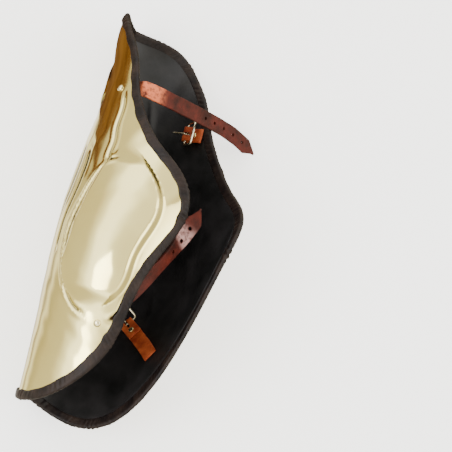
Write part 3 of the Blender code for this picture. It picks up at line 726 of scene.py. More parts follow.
@dataclass
class Shell(SheetPiece):
    """The polished brass: raised calves and knee, chased lines and a sharp shin ridge."""

    cells: tuple[int, int] = (288, 300)
    coarser: int = 4
    unevenness: float = 0.00018
    path_points: int = 90
    fade_run: float = 0.010

    def chasing(self, domain: np.ndarray) -> tuple[np.ndarray, np.ndarray]:
        """The grooves' level and how deep in a groove each point is, from 0 to 1.

        The level is −depth × e^(−(d/width)²) + lip × depth × e^(−((d − 2 width)/width)²), where d is
        the distance from the line. It fades out at the line's ends, but not where the line starts on
        the ridge, because there it meets its mirror image.

        Args:
            domain: The grid of arc and height.

        Returns:
            The level in metres, and the share of the depth.
        """
        arc, height = domain[..., 0], domain[..., 1]
        level = np.zeros(arc.shape)
        deep = np.zeros(arc.shape)
        for line in CHASED_LINES:
            path = through(np.array(line.points) * (WRAP, LENGTH), self.path_points)
            run = run_of(path)
            width, lip = line.stroke.width, line.stroke.lip
            where_arc = np.abs(arc)
            reach = 6 * width
            low, high = path.min(axis=0) - reach, path.max(axis=0) + reach
            near = (where_arc > low[0]) & (where_arc < high[0]) & (height > low[1]) & (height < high[1])
            gap = np.stack([where_arc[near], height[near]], axis=1)[:, None] - path[None]
            apart = np.linalg.norm(gap, axis=2)
            closest = apart.argmin(axis=1)
            distance = apart[np.arange(len(closest)), closest]
            fade = np.clip((run[-1] - run[closest]) / self.fade_run, 0, 1)
            if line.points[0][0] > 0:
                fade *= np.clip(run[closest] / self.fade_run, 0, 1)
            groove = np.exp(-((distance / width) ** 2)) * fade
            beside = np.exp(-(((distance - 2 * width) / width) ** 2)) * fade
            level[near] += line.stroke.depth * (lip * beside - groove)
            deep[near] = np.maximum(deep[near], groove)
        return level, deep

    def hammering(self, domain: np.ndarray) -> np.ndarray:
        """Slow waves left by the hammer: products of uneven waves along the arc and the height."""
        arc, height = domain[..., 0], domain[..., 1]
        first = ripple(arc + 0.3 * height, 5, 0.018, 0.06, 3) * ripple(height - 0.2 * arc, 5, 0.022, 0.07, 4)
        second = ripple(height + 0.5 * arc, 5, 0.03, 0.10, 5)
        return self.unevenness * (first + 0.6 * second)

    def build(self) -> bpy.types.Object:
        """Makes the shell."""
        domain = filled(self.rim.loop(self.cells), self.cells)
        chased, deep = self.chasing(domain)
        level = self.sheet.relief(domain[..., 0], domain[..., 1]) + chased + self.hammering(domain)

        def back_level(places: np.ndarray) -> np.ndarray:
            """The inner face follows the raised forms and leaves the grooves out."""
            return self.sheet.relief(places[..., 0], places[..., 1]) - BRASS

        wall = Wall(self.sheet, self.cells, self.coarser, WallFace.OUTER)
        points, faces = wall.build(domain, level, back_level)
        self.ground.fit(points, "shell")
        wear_and_highlight = np.zeros(len(points))
        wear_and_highlight[: deep.size] = deep.ravel()
        piece = Piece("shell_brass", "polished_brass", self.material, "shell", sharp=17.0)
        return piece.build(self.ground.place(points), faces, wear_and_highlight)


@dataclass
class Lining(SheetPiece):
    """Black leather glued inside the shell, with soft folds at the knee and small dents lower down."""

    cells: tuple[int, int] = (168, 224)
    coarser: int = 4
    slack: float = 0.00025
    fold_run: float = 0.100
    fold_width: float = 0.010

    # Folds: middle (arc, height) as shares of WRAP and LENGTH, run of fold_run, width of fold_width, turn
    # in degrees from upright, and rise as a share of LINING
    FOLDS: ClassVar[tuple] = (
        (-0.22, 0.70, 0.50, 0.35, 14.0, 0.9),
        (-0.17, 0.69, 0.45, 0.30, 20.0, 0.7),
        (-0.11, 0.72, 0.40, 0.40, 8.0, 0.6),
        (-0.28, 0.80, 0.40, 0.90, -25.0, 0.6),
        (-0.48, 0.325, 0.10, 0.45, 10.0, 0.8),
        (-0.48, 0.295, 0.08, 0.45, -20.0, 0.7),
        (0.12, 0.80, 0.60, 0.70, 12.0, 0.6),
        (0.30, 0.50, 0.80, 0.60, -6.0, 0.5),
        (-0.62, 0.50, 0.70, 0.80, 10.0, 0.5),
        (0.05, 0.30, 0.90, 0.70, 4.0, 0.5),
    )

    def folds(self, domain: np.ndarray) -> np.ndarray:
        """The folds' rise: each is rise × e^(−(across/width)²) × e^(−(along/run)⁴)."""
        arc, height = domain[..., 0], domain[..., 1]
        rise = np.zeros(arc.shape)
        for middle, level, run, width, turn, most in self.FOLDS:
            a, h = arc - middle * WRAP, height - level * LENGTH
            angle = math.radians(turn)
            across = (a * math.cos(angle) - h * math.sin(angle)) / (width * self.fold_width)
            along = (a * math.sin(angle) + h * math.cos(angle)) / (run * self.fold_run)
            rise += most * LINING * np.exp(-(across**2) - along**4)
        return rise

    def build(self) -> bpy.types.Object:
        """Makes the lining. Between its folds it stands off its face by a slack of slow waves."""
        edge = inset(self.rim.loop(self.cells), BINDING_WIDTH + GAP)
        domain = filled(edge, self.cells)
        arc, height = domain[..., 0], domain[..., 1]
        waves = ripple(height + 0.2 * arc, 5, 0.02, 0.08, 8) * ripple(arc, 4, 0.03, 0.09, 9)
        face = -BRASS - GLUE_LINE - LINING
        level = face - self.folds(domain) - np.clip(self.slack * (1 + waves), 0, SEAT)

        def back_level(places: np.ndarray) -> np.ndarray:
            """The glued face lies flat."""
            return np.full(places.shape[:-1], -BRASS - GLUE_LINE)

        wall = Wall(self.sheet, self.cells, self.coarser, WallFace.INNER)
        points, faces = wall.build(domain, level, back_level)
        piece = Piece("lining_leather", "black_leather", self.material, "lining")
        return piece.build(self.ground.place(points), faces)


@dataclass
class Binding(SheetPiece):
    """Leather folded over the rim and gathered where the rim turns.

    Its gathers slant by a shift from row to row, its edges are pared by a share of its wall, and the
    turning of the rim is averaged over a number of steps to each side.
    """

    steps: int = 1500
    flange_steps: int = 9
    edge_steps: int = 9
    gather: float = 0.00035
    width_play: float = 0.0007
    shift: float = 0.0004
    pared: float = 0.45
    average: int = 30

    def section(self) -> tuple[np.ndarray, np.ndarray]:
        """The leather's section as (inset, level) rows, and how far each row may swell, from 0 to 1.

        The outer face runs in along the outer flange, round the rim on a half circle, and out along the
        inner flange. The inner face comes back along the brass.
        """
        top, bottom = GAP + BINDING, -BRASS - GAP - BINDING
        radius = (top - bottom) / 2
        flange = np.linspace(1, 0, self.flange_steps)
        outer = np.stack([flange * BINDING_WIDTH, np.full(len(flange), top)], axis=1)
        turn = np.linspace(0, math.pi, self.edge_steps)[1:-1]
        edge = np.stack([-radius * np.sin(turn), -BRASS / 2 + radius * np.cos(turn)], axis=1)
        inner_width = BINDING_WIDTH + LINING_CLEARANCE
        inner = np.stack([flange[::-1] * inner_width, np.full(len(flange), bottom)], axis=1)
        back = np.array(
            [
                (inner_width, -BRASS - GAP),
                (-GAP, -BRASS - GAP),
                (-GAP, GAP),
                (BINDING_WIDTH, GAP),
            ]
        )
        rows = np.concatenate([outer, edge, inner, back])
        swell_out = 0.4 + 0.6 * np.sin(np.pi * (0.05 + 0.9 * flange))
        swell = np.concatenate([swell_out, np.full(len(edge), 0.8), swell_out[::-1], np.zeros(len(back))])
        rows[0, 1] -= BINDING * self.pared
        rows[-len(back) - 1, 1] += BINDING * self.pared
        return rows, swell

    def tightness(self, loop: np.ndarray, run: np.ndarray) -> np.ndarray:
        """How tightly the rim turns at each point, as a share of its tightest turn."""
        ahead = np.roll(loop, -1, axis=0) - loop
        heading = np.unwrap(np.arctan2(ahead[:, 1], ahead[:, 0]))
        turning = np.abs(np.gradient(heading)) / np.gradient(run)
        near = self.average
        window = np.ones(2 * near + 1) / (2 * near + 1)
        turning = np.convolve(np.r_[turning[-near:], turning, turning[:near]], window, mode="valid")
        return turning / turning.max()

    def build(self) -> bpy.types.Object:
        """Makes the binding.

        Each row of the section bulges by swell × gather × (0.45 + 1.6 × tightness) × an uneven wave
        along the rim, and the outer flange's width wanders with a slower wave.
        """
        loop = self.rim.even_loop(self.steps)
        run = run_of(np.vstack([loop, loop[:1]]))[:-1]
        tight = self.tightness(loop, run)
        slow = ripple(run, 4, 0.02, 0.07, 22)
        rows, swell = self.section()
        rings = []
        for number, ((distance, level), free) in enumerate(zip(rows, swell)):
            fine = ripple(run + self.shift * number, 6, 0.0028, 0.008, 21)
            bulge = free * self.gather * (0.45 + 1.6 * tight) * (fine * (0.7 + 0.3 * slow) + 0.35)
            wander = self.width_play * slow * (distance / BINDING_WIDTH) * (1 if free and level > 0 else 0)
            away = 1.0 if level > -BRASS / 2 else -1.0
            on_edge = distance < 0 and free > 0
            place = inset(loop, distance + wander - (bulge if on_edge else 0))
            rings.append(self.sheet.surface(place, level + (0 if on_edge else away * bulge)))
        points = np.stack(rings, axis=1).reshape(-1, 3)
        quads = grid_quads(self.steps + 1, len(rows), closed=True) % len(points)
        piece = Piece("binding_leather", "dark_brown_leather", self.material, "binding", sharp=60.0)
        return piece.build(self.ground.place(points), [quads[:, ::-1]])


@dataclass
class Band:
    """A flat leather band with rounded edges, along a line of points with the way that its face looks.

    It narrows to a blunt point, its wall thins over its end run, and its width plays by a small share.
    """

    width: float
    wall: float
    point: float = 0.0
    steps: int = 150
    round_edge: float = 0.0007
    blunt: float = 0.12
    end_run: float = 0.0008
    end_wall: float = 0.55
    play: float = 0.012

    def section(self) -> np.ndarray:
        """The band's section with unit half width and half wall, as (side, face) rows with round corners."""
        corner_side = self.round_edge / (self.width / 2)
        corner_face = self.round_edge / (self.wall / 2)
        rows = []
        for side, face, begin in ((1, 1, 0), (-1, 1, 90), (-1, -1, 180), (1, -1, 270)):
            for angle in (0, 30, 60, 90):
                turn = math.radians(begin + angle)
                rows.append(
                    (side * (1 - corner_side) + corner_side * math.cos(turn),
                     face * (1 - corner_face) + corner_face * math.sin(turn))
                )
            if side == face:
                rows += [(side * share, face) for share in (0.7, 0.35, 0.0, -0.35, -0.7)]
        return np.array(rows)

    def build(self, centre: np.ndarray, face: np.ndarray, seed: int) -> tuple[np.ndarray, list[np.ndarray]]:
        """Points and faces of the band: its section is carried along the line and closed at both ends.

        Args:
            centre: The middle line, in order.
            face: The way that the band's outer side looks, at each point.
            seed: Picks the small waves of its edges.

        Returns:
            The points and arrays of faces.
        """
        ahead = np.gradient(centre, axis=0)
        ahead /= np.linalg.norm(ahead, axis=1, keepdims=True)
        face = face - (face * ahead).sum(axis=1, keepdims=True) * ahead
        face /= np.linalg.norm(face, axis=1, keepdims=True)
        side = np.cross(ahead, face)
        run = run_of(centre)
        taper = np.ones(len(run))
        if self.point:
            taper = np.clip((run[-1] - run) / self.point, self.blunt, 1)
        play = 1 + self.play * ripple(run, 5, 0.01, 0.05, seed)
        half_width = (self.width / 2 * taper * play)[:, None, None]
        end_soft = np.clip(np.minimum(run, run[-1] - run) / self.end_run, self.end_wall, 1)
        half_wall = (self.wall / 2 * end_soft)[:, None, None]
        section = self.section()
        points = (
            centre[:, None]
            + side[:, None] * half_width * section[None, :, :1]
            + face[:, None] * half_wall * section[None, :, 1:]
        ).reshape(-1, 3)
        count = len(section)
        quads = grid_quads(len(centre), count, closed=True)
        last = count * (len(centre) - 1)
        ends = [np.arange(count)[None], (last + np.arange(count - 1, -1, -1))[None]]
        return points, [quads[:, ::-1], ends[0], ends[1]]


def carve(piece: bpy.types.Object, cutters: list[bpy.types.Object], folded: bool = False) -> None:
    """Takes cutters away from a piece, keeps the result as its mesh and drops the cutters.

    Args:
        piece: The object to cut.
        cutters: The solids to take away.
        folded: Whether the piece lies back over itself.
    """
    for cutter in cutters:
        cut = piece.modifiers.new("cut", "BOOLEAN")
        cut.operation = "DIFFERENCE"
        cut.object = cutter
        cut.use_self = folded
    bpy.context.view_layer.update()
    graph = bpy.context.evaluated_depsgraph_get()
    carved = bpy.data.meshes.new_from_object(piece.evaluated_get(graph))
    piece.modifiers.clear()
    piece.data = carved
    for cutter in cutters:
        bpy.data.objects.remove(cutter)


@dataclass
class Strap:
    """A strap with a pointed end and punched holes, the first of them a run from the end."""

    node: str
    route: tuple[np.ndarray, np.ndarray]
    holes: int
    # The paler stretch as shares of the length; on the lower strap it is a painted highlight.
    pale_patch_and_highlight: tuple[float, float]
    ground: Ground
    material: bpy.types.Material
    seed: int
    first_hole: float = 1.6 * STRAP_POINT
    hole_sides: int = 20

    def rods(self, centre: np.ndarray, face: np.ndarray) -> list[bpy.types.Object]:
        """The round cutters of the holes, along the strap's middle line and square to its face."""
        run = run_of(centre)
        at = run[-1] - self.first_hole - np.arange(self.holes) * HOLE_PITCH
        middles = self.ground.place(sampled(centre, run, at))
        looks = self.ground.direction(sampled(face, run, at))
        rods = []
        for middle, look in zip(middles, looks):
            bpy.ops.mesh.primitive_cylinder_add(vertices=self.hole_sides, radius=HOLE / 2, depth=4 * STRAP)
            rod = bpy.context.object
            turn = Vector(look).to_track_quat("Z", "Y").to_matrix().to_4x4()
            rod.data.transform(Matrix.Translation(Vector(middle)) @ turn)
            rods.append(rod)
        return rods

    def build(self) -> bpy.types.Object:
        """Makes the strap and punches its holes. Its paler stretch, given as shares of its length, is a
        painted highlight on the lower strap.
        """
        points, faces = self.route
        band = Band(STRAP_WIDTH, STRAP, STRAP_POINT)
        both = through(np.hstack([points, faces * STRAP_WIDTH]), band.steps)
        centre, face = both[:, :3], both[:, 3:]
        body, groups = band.build(centre, face, self.seed)
        run = run_of(centre)
        share = run / run[-1]
        # Mask of the paler stretch; on the lower strap it is a painted highlight.
        wear_and_highlight = step_up(share - self.pale_patch_and_highlight[0], 0.05) * step_up(self.pale_patch_and_highlight[1] - share, 0.08)
        name = f"{self.node}_leather"
        piece = Piece(name, "red_brown_leather", self.material, self.node, sharp=50.0)
        strap = piece.build(self.ground.place(body), groups, np.repeat(wear_and_highlight, len(body) // len(run)))
        carve(strap, self.rods(centre, face))
        return strap


@dataclass
class Routes:
    """The lines that the straps and tabs follow, in the leg's frame."""

    sheet: LegSheet
    rim: Rim

    def upper_strap(self) -> tuple[np.ndarray, np.ndarray]:
        """Along the + wing, round past its rim, over the opening and the other rim, and free."""
        arc, height = UPPER_ROOT[0] * WRAP, UPPER_ROOT[1] * LENGTH
        lift = GAP + STRAP / 2
        edge = self.rim.arc_at(height)
        start = self.sheet.inside(arc - 0.6 * STRAP_WIDTH, height, lift)
        root = self.sheet.inside(arc, height, lift)
        leave_height, turn_height = height + 0.15 * STRAP_SLANT, height + 0.25 * STRAP_SLANT
        leave = self.sheet.inside(edge - STRAP_LEAVE, leave_height, lift + STRAP_EASE / 2)
        turn = self.sheet.inside(edge + STRAP_LEAVE, turn_height, lift + STRAP_TURN)
        height_over = height + STRAP_SLANT
        over_rim = self.rim.arc_at(height_over - STRAP_WIDTH / 2) + 7 * GAP + BINDING + STRAP / 2
        over = self.sheet.point(-over_rim, height_over, -BRASS / 2)
        mid = (turn + over) / 2 + (0, STRAP_BOW, 0)
        ahead = (over - mid) / np.linalg.norm(over - mid)
        tip = over + ahead * STRAP_TAIL + (0, STRAP_TAIL_RISE, -STRAP_TAIL_DROP)
        half_way = (over + tip) / 2 + (0, -STRAP_TAIL_RISE / 8, STRAP_TAIL_DROP / 4)
        points = np.array([start, root, leave, turn, mid, over, half_way, tip])
        out = self.sheet.facing(arc, height)
        back = np.array([0.0, 1.0, 0.0])
        return points, np.array([out, out, out, 0.6 * out + back, back, back, back, back])

    def lower_strap(self) -> tuple[np.ndarray, np.ndarray]:
        """Up along the + wing from its rivet, and free along the inside of the rim."""
        rows = [
            # arc as a share of WRAP, height as a share of LENGTH, lift off the lining as a share of
            # STRAP_WIDTH, and share of the turn toward LOWER_STRAP_LOOK
            (LOWER_ROOT[0] - 0.03, LOWER_ROOT[1] - 0.03, 0.0, 0.0),
            (*LOWER_ROOT, 0.0, 0.0),
            (0.72, 0.23, 0.0, 0.0),
            (0.80, 0.26, 0.0, 0.0),
            (0.87, 0.29, 0.04, 0.0),
            (0.95, 0.33, 0.04, 0.0),
            (1.02, 0.37, 0.0, 0.0),
            (1.08, 0.41, 0.06, 0.3),
            (1.12, 0.45, 0.25, 0.6),
            (1.13, 0.49, 0.55, 0.9),
            (1.12, 0.51, 0.75, 1.0),
        ]
        lift = GAP + STRAP / 2 + STRAP_EASE
        points, faces = [], []
        for share, level, rise, turn in rows:
            place = (share * WRAP, level * LENGTH)
            points.append(self.sheet.inside(*place, lift + rise * STRAP_WIDTH))
            faces.append((1 - turn) * self.sheet.facing(*place) + turn * np.array(LOWER_STRAP_LOOK))
        return np.array(points), np.array(faces)


@dataclass
class BuckleSeat:
    """The place of a buckle's bar on the lining, and the tab that holds it.

    A share of the tab, but no more than of so many strap widths, is folded back, and its two layers
    close on each other by a slope.
    """

    sheet: LegSheet
    bar: tuple[float, float]
    slope: float
    length: float
    folded_share: float = 0.6
    folded_widths: float = 2.2
    closing: float = 0.04

    def on_tab(self, run: float) -> tuple[float, float]:
        """Arc and height of a place on the tab, at a run from the bar."""
        return (
            self.bar[0] * WRAP - run * math.cos(self.slope),
            self.bar[1] * LENGTH + run * math.sin(self.slope),
        )

    def axes(self) -> tuple[np.ndarray, np.ndarray, np.ndarray, np.ndarray]:
        """The bar's middle on the lining, the way to the tab's end, the bar's axis, and inwards."""
        arc, height = self.bar[0] * WRAP, self.bar[1] * LENGTH
        middle = self.sheet.point(arc, height, -INSIDE)
        along = self.sheet.point(*self.on_tab(TAB_WIDTH / 4), -INSIDE) - middle
        along /= np.linalg.norm(along)
        inwards = -self.sheet.facing(arc, height)
        inwards -= inwards @ along * along
        inwards /= np.linalg.norm(inwards)
        return middle, along, np.cross(inwards, along), inwards

    def centre(self) -> np.ndarray:
        """The bar's middle."""
        middle, _, _, inwards = self.axes()
        return middle + inwards * (TAB_LIFT + TAB_FOLD)

    def route(self) -> tuple[np.ndarray, np.ndarray]:
        """The tab's line on the lining from its end to the bar, round the bar and back over itself."""
        points, faces = [], []
        for share in (1.0, 0.75, 0.5, 0.25, 0.08):
            place = self.on_tab(share * self.length)
            points.append(self.sheet.inside(*place, TAB_LIFT))
            faces.append(self.sheet.facing(*place))
        _, along, _, inwards = self.axes()
        centre = self.centre()
        for angle in (-60, -20, 20, 60, 90):
            turn = math.radians(angle)
            out = inwards * math.sin(turn) - along * math.cos(turn)
            points.append(centre + TAB_FOLD * out)
            faces.append(out)
        folded = self.folded_share * min(self.length, self.folded_widths * STRAP_WIDTH)
        for share in (0.35, 0.6, 0.85):
            step = share * folded * (along - self.closing * inwards)
            points.append(centre + TAB_FOLD * inwards + step)
            faces.append(inwards)
        return np.array(points), np.array(faces)


@dataclass
class Tab:
    """A leather tab folded round a buckle's bar, with a slot for the prong."""

    node: str
    seat: BuckleSeat
    ground: Ground
    material: bpy.types.Material
    seed: int

    def build(self) -> bpy.types.Object:
        """Makes the tab and cuts its slot."""
        points, faces = self.seat.route()
        band = Band(TAB_WIDTH, TAB, steps=110, round_edge=0.0005)
        both = through(np.hstack([points, faces * TAB_WIDTH]), band.steps)
        body, groups = band.build(both[:, :3], both[:, 3:], self.seed)
        name = f"{self.node}_leather"
        piece = Piece(name, "orange_brown_leather", self.material, self.node, sharp=50.0)
        tab = piece.build(self.ground.place(body), groups)
        _, along, axis, inwards = (self.ground.direction(v) for v in self.seat.axes())
        bpy.ops.mesh.primitive_cube_add(size=1.0)
        slot = bpy.context.object
        turn = Matrix([inwards, along, axis]).transposed().to_4x4()
        size = Matrix.Diagonal((4 * WIRE + 3 * TAB, 4 * WIRE + 2 * TAB, PRONG + 2 * SLOT_EASE, 1.0))
        centre = self.ground.place(self.seat.centre()[None])[0]
        slot.data.transform(Matrix.Translation(Vector(centre)) @ turn @ size)
        carve(tab, [slot], folded=True)
        return tab


def tube(path: np.ndarray, radius: np.ndarray | float, sides: int, closed: bool) -> tuple:
    """A round wire: a circle carried along a line, each ring turned as little as can be from the last.

    Args:
        path: The wire's middle line.
        radius: Its radius, or one for each point.
        sides: Sides of the circle.
        closed: Whether the line's end joins its start.

    Returns:
        The points and arrays of faces.
    """
    ahead = np.roll(path, -1, axis=0) - np.roll(path, 1, axis=0)
    if not closed:
        ahead = np.gradient(path, axis=0)
    ahead /= np.linalg.norm(ahead, axis=1, keepdims=True)
    flat = np.linalg.svd(path - path.mean(axis=0))[2][2]
    side = np.cross(ahead, flat)
    side /= np.linalg.norm(side, axis=1, keepdims=True)
    up = np.cross(side, ahead)
    turn = np.arange(sides) / sides * 2 * math.pi
    radius = np.broadcast_to(np.asarray(radius, float), len(path))[:, None, None]
    circle = np.cos(turn)[None, :, None] * side[:, None] + np.sin(turn)[None, :, None] * up[:, None]
    points = (path[:, None] + radius * circle).reshape(-1, 3)
    rings = len(path) + 1 if closed else len(path)
    quads = grid_quads(rings, sides, closed=True) % len(points)
    if closed:
        return points, [quads]
    last = sides * (len(path) - 1)
    return points, [quads, np.arange(sides)[None, ::-1], (last + np.arange(sides))[None]]


@dataclass
class Buckle:
    """A wire frame on its bar, and a prong hooked round the bar."""

    name: str
    seat: BuckleSeat
    folded: bool
    raised: float
    prong_rise: float
    ground: Ground
    material: bpy.types.Material
    frame_steps: int = 120
    frame_sides: int = 16
    prong_steps: int = 70
    prong_sides: int = 14

    def frame(self) -> bpy.types.Object:
        """Makes the frame: four sides with round corners, in a plane that leans by its raised angle."""
        _, along, axis, inwards = self.seat.axes()
        centre = self.seat.centre()
        half, corner = BUCKLE_WIDTH / 2, BUCKLE_CORNER
        way = along if self.folded else -along
        reach = way * math.cos(self.raised) + inwards * math.sin(self.raised)
        ring = []
        for side, far, begin in ((1, 0, -90), (1, 1, 0), (-1, 1, 90), (-1, 0, 180)):
            for angle in np.linspace(begin, begin + 90, 9):
                turn = math.radians(angle)
                mid = reach * (BUCKLE_DEPTH - corner if far else corner) + axis * side * (half - corner)
                ring.append(centre + mid + corner * (axis * math.cos(turn) + reach * math.sin(turn)))
        path = evenly(np.vstack([ring, ring[:1]]), self.frame_steps + 1)[:-1]
        points, faces = tube(path, WIRE / 2, self.frame_sides, True)
        piece = Piece(f"{self.name}_frame_wire", "pale_brass_wire", self.material, f"{self.name}_frame")
        return piece.build(self.ground.place(points), faces)

    def prong(self) -> bpy.types.Object:
        """Makes the prong: a hook round the bar and a straight point that thins to its end."""
        _, along, _, inwards = self.seat.axes()
        centre = self.seat.centre()
        loop = WIRE / 2 + PRONG / 2 + GAP
        line = []
        for angle in np.linspace(200, 430, 24):
            turn = math.radians(angle)
            line.append(centre + loop * (inwards * math.sin(turn) - along * math.cos(turn)))
        last = line[-1]
        for share in np.linspace(0.1, 1.0, 12):
            step = share * BUCKLE_DEPTH
            line.append(last + step * (inwards * self.prong_rise - along))
        path = through(np.array(line), self.prong_steps)
        share = np.linspace(0, 1, len(path))
        radius = PRONG / 2 * np.minimum(1.345 - 0.5 * share, 1)
        radius[-1] *= 0.5
        points, faces = tube(path, radius, self.prong_sides, False)
        piece = Piece(f"{self.name}_prong_wire", "pale_brass_wire", self.material, f"{self.name}_prong")
        return piece.build(self.ground.place(points), faces)


@dataclass
class Rivet:
    """A domed rivet through the wall, with its clench inside."""

    node: str
    arc: float
    height: float
    depth: float
    sheet: LegSheet
    ground: Ground
    material: bpy.types.Material
    sides: int = 32

    def profile(self) -> np.ndarray:
        """The rivet's outline as (radius, level): a dome of circle arcs, the shank and a low clench.

        A rivet with no depth has no clench: it ends flush with the brass, under the lining.
        """
        turn = np.linspace(0, math.pi / 2, 8)
        dome = np.stack([RIVET_HEAD * np.sin(turn), GAP + RIVET_RISE * np.cos(turn)], axis=1)
        if not self.depth:
            return np.vstack([dome, [(RIVET_SHANK, GAP), (RIVET_SHANK, -BRASS), (0.0, -BRASS)]])
        low = -self.depth - GAP
        fall = RIVET_CLENCH_RISE * (0.2 + 0.8 * np.sin(turn))
        clench = np.stack([RIVET_CLENCH * np.cos(turn), low - fall], axis=1)
        clench[-1, 0] = 0.0
        return np.vstack([dome, [(RIVET_SHANK, GAP), (RIVET_SHANK, low), (RIVET_CLENCH, low)], clench])

    def build(self) -> bpy.types.Object:
        """Makes the rivet: its outline is turned about its axis."""
        middle = self.sheet.point(self.arc, self.height, 0.0)
        face = self.sheet.facing(self.arc, self.height)
        side = np.cross(face, (0.0, 0.0, 1.0))
        side /= np.linalg.norm(side)
        up = np.cross(face, side)
        rows = self.profile()
        turn = np.arange(self.sides) / self.sides * 2 * math.pi
        circle = np.cos(turn)[:, None] * side + np.sin(turn)[:, None] * up
        inner = rows[1:-1]
        rings = middle + inner[:, None, :1] * circle[None] + inner[:, None, 1:] * face
        top, foot = middle + rows[0, 1] * face, middle + rows[-1, 1] * face
        points = np.vstack([rings.reshape(-1, 3), top, foot])
        quads = grid_quads(len(inner), self.sides, closed=True)
        ring = np.arange(self.sides)
        after = (ring + 1) % self.sides
        last = self.sides * (len(inner) - 1)
        caps = np.concatenate(
            [
                np.stack([np.full(self.sides, len(points) - 2), after, ring], axis=1),
                np.stack([np.full(self.sides, len(points) - 1), last + ring, last + after], axis=1),
            ]
        )
        piece = Piece(f"{self.node}_brass", "polished_brass", self.material, self.node, sharp=50.0)
        return piece.build(self.ground.place(points), [quads, caps])


@dataclass
class Nodes:
    """A node tree, with the kinds of node that the finishes and the studio share."""

    tree: bpy.types.NodeTree

    def fill(self, node: bpy.types.Node, inputs: dict[str, object]) -> bpy.types.Node:
        """Links the sockets that are given into a node's inputs, and sets its other inputs to values."""
        for name, value in inputs.items():
            if isinstance(value, bpy.types.NodeSocket):
                self.tree.links.new(value, node.inputs[name])
            else:
                node.inputs[name].default_value = value
        return node

    def add(self, kind: str, inputs: dict[str, object]) -> bpy.types.Node:
        """A new node of a kind, with its inputs filled."""
        return self.fill(self.tree.nodes.new(f"ShaderNode{kind}"), inputs)

    def place(self) -> bpy.types.NodeSocket:
        """Object coordinates."""
        return self.add("TexCoord", {}).outputs["Object"]

    def wear_and_highlight(self) -> bpy.types.NodeSocket:
        """The piece's own attribute "worn"."""
        node = self.add("Attribute", {})
        node.attribute_name = "wear_and_highlight"
        return node.outputs["Fac"]

    def noise(self, scale: float, detail: float, roughness: float = 0.5) -> bpy.types.NodeSocket:
        """A noise on Object coordinates."""
        inputs = {"Vector": self.place(), "Scale": scale, "Detail": detail, "Roughness": roughness}
        return self.add("TexNoise", inputs).outputs["Fac"]

    def ramp(self, source: bpy.types.NodeSocket, stops: tuple) -> bpy.types.NodeSocket:
        """Colours over a value, from (place, colour) stops."""
        node = self.add("ValToRGB", {"Fac": source})
        elements = node.color_ramp.elements
        while len(elements) < len(stops):
            elements.new(0.5)
        for element, (place, colour) in zip(elements, stops):
            element.position = place
            element.color = (*colour, 1.0)
        return node.outputs["Color"]

    def spread(
        self,
        source: bpy.types.NodeSocket,
        low: float = 0.0,
        high: float = 1.0,
        start: float = 0.0,
        end: float = 1.0,
    ) -> bpy.types.NodeSocket:
        """A value mapped evenly onto a range.

        Args:
            source: The value.
            low: What it becomes at the start.
            high: What it becomes at the end.
            start: The value at which the range starts.
            end: The value at which the range ends.

        Returns:
            The mapped value.
        """
        inputs = {"Value": source, "From Min": start, "From Max": end, "To Min": low, "To Max": high}
        return self.add("MapRange", inputs).outputs["Result"]

    def bump(
        self,
        height: bpy.types.NodeSocket,
        strength: float,
        distance: float,
        below: bpy.types.NodeSocket | None = None,
    ) -> bpy.types.NodeSocket:
        """A bump from a height, on top of another one if given."""
        inputs = {"Strength": strength, "Distance": distance, "Height": height}
        if below is not None:
            inputs["Normal"] = below
        return self.add("Bump", inputs).outputs["Normal"]

    def product(self, first: bpy.types.NodeSocket, second: bpy.types.NodeSocket) -> bpy.types.NodeSocket:
        """Two values multiplied."""
        node = self.add("Math", {})
        node.operation = "MULTIPLY"
        for place, source in zip(node.inputs, (first, second)):
            self.tree.links.new(source, place)
        return node.outputs["Value"]

    def mix(self, factor: object, first: object, second: object, blend: str = "MIX") -> bpy.types.NodeSocket:
        """The second colour laid over the first by a factor, each of them a socket or a value."""
        node = self.add("Mix", {})
        node.data_type = "RGBA"
        node.blend_type = blend
        self.fill(node, {"Factor": factor, "A": first, "B": second})
        return node.outputs["Result"]


@dataclass(frozen=True)
class Finish:
    """What all finishes share: a name, and a new material with its nodes and its shader."""

    name: str

    def start(self) -> tuple[bpy.types.Material, Nodes, bpy.types.Node]:
        """A new material, its nodes and its shader."""
        material = bpy.data.materials.new(self.name)
        material.use_nodes = True
        tree = material.node_tree
        return material, Nodes(tree), tree.nodes["Principled BSDF"]


@dataclass(frozen=True)
class BrassFinish(Finish):
    """Polished brass, with faint tarnish in clouds and in its chased lines.

    The tarnish of a line starts at one share of its depth and is full at another.
    """

    light: tuple[float, float, float] = (0.92, 0.80, 0.34)
    warm: tuple[float, float, float] = (0.85, 0.70, 0.26)
    tarnish: tuple[float, float, float] = (0.03, 0.015, 0.006)
    tarnish_from: float = 0.30
    tarnish_full: float = 0.80
    cloud_scale: float = 9.0
    rub_scale: float = 60.0
    smooth: float = 0.07
    dull: float = 0.20

    def make(self) -> bpy.types.Material:
        """Builds the node tree."""
        material, nodes, shader = self.start()
        cloud = nodes.noise(self.cloud_scale, 4.0, 0.6)
        tone = nodes.ramp(cloud, ((0.35, self.light), (0.72, self.warm)))
        deep = nodes.spread(nodes.wear_and_highlight(), start=self.tarnish_from, end=self.tarnish_full)
        rub = nodes.noise(self.rub_scale, 6.0, 0.65)
        looks = {
            "Base Color": nodes.mix(deep, tone, (*self.tarnish, 1.0)),
            "Metallic": 1.0,
            "Roughness": nodes.spread(rub, self.smooth, self.dull),
            "Normal": nodes.bump(rub, 0.05, 0.0004),
        }
        nodes.fill(shader, looks)
        return material


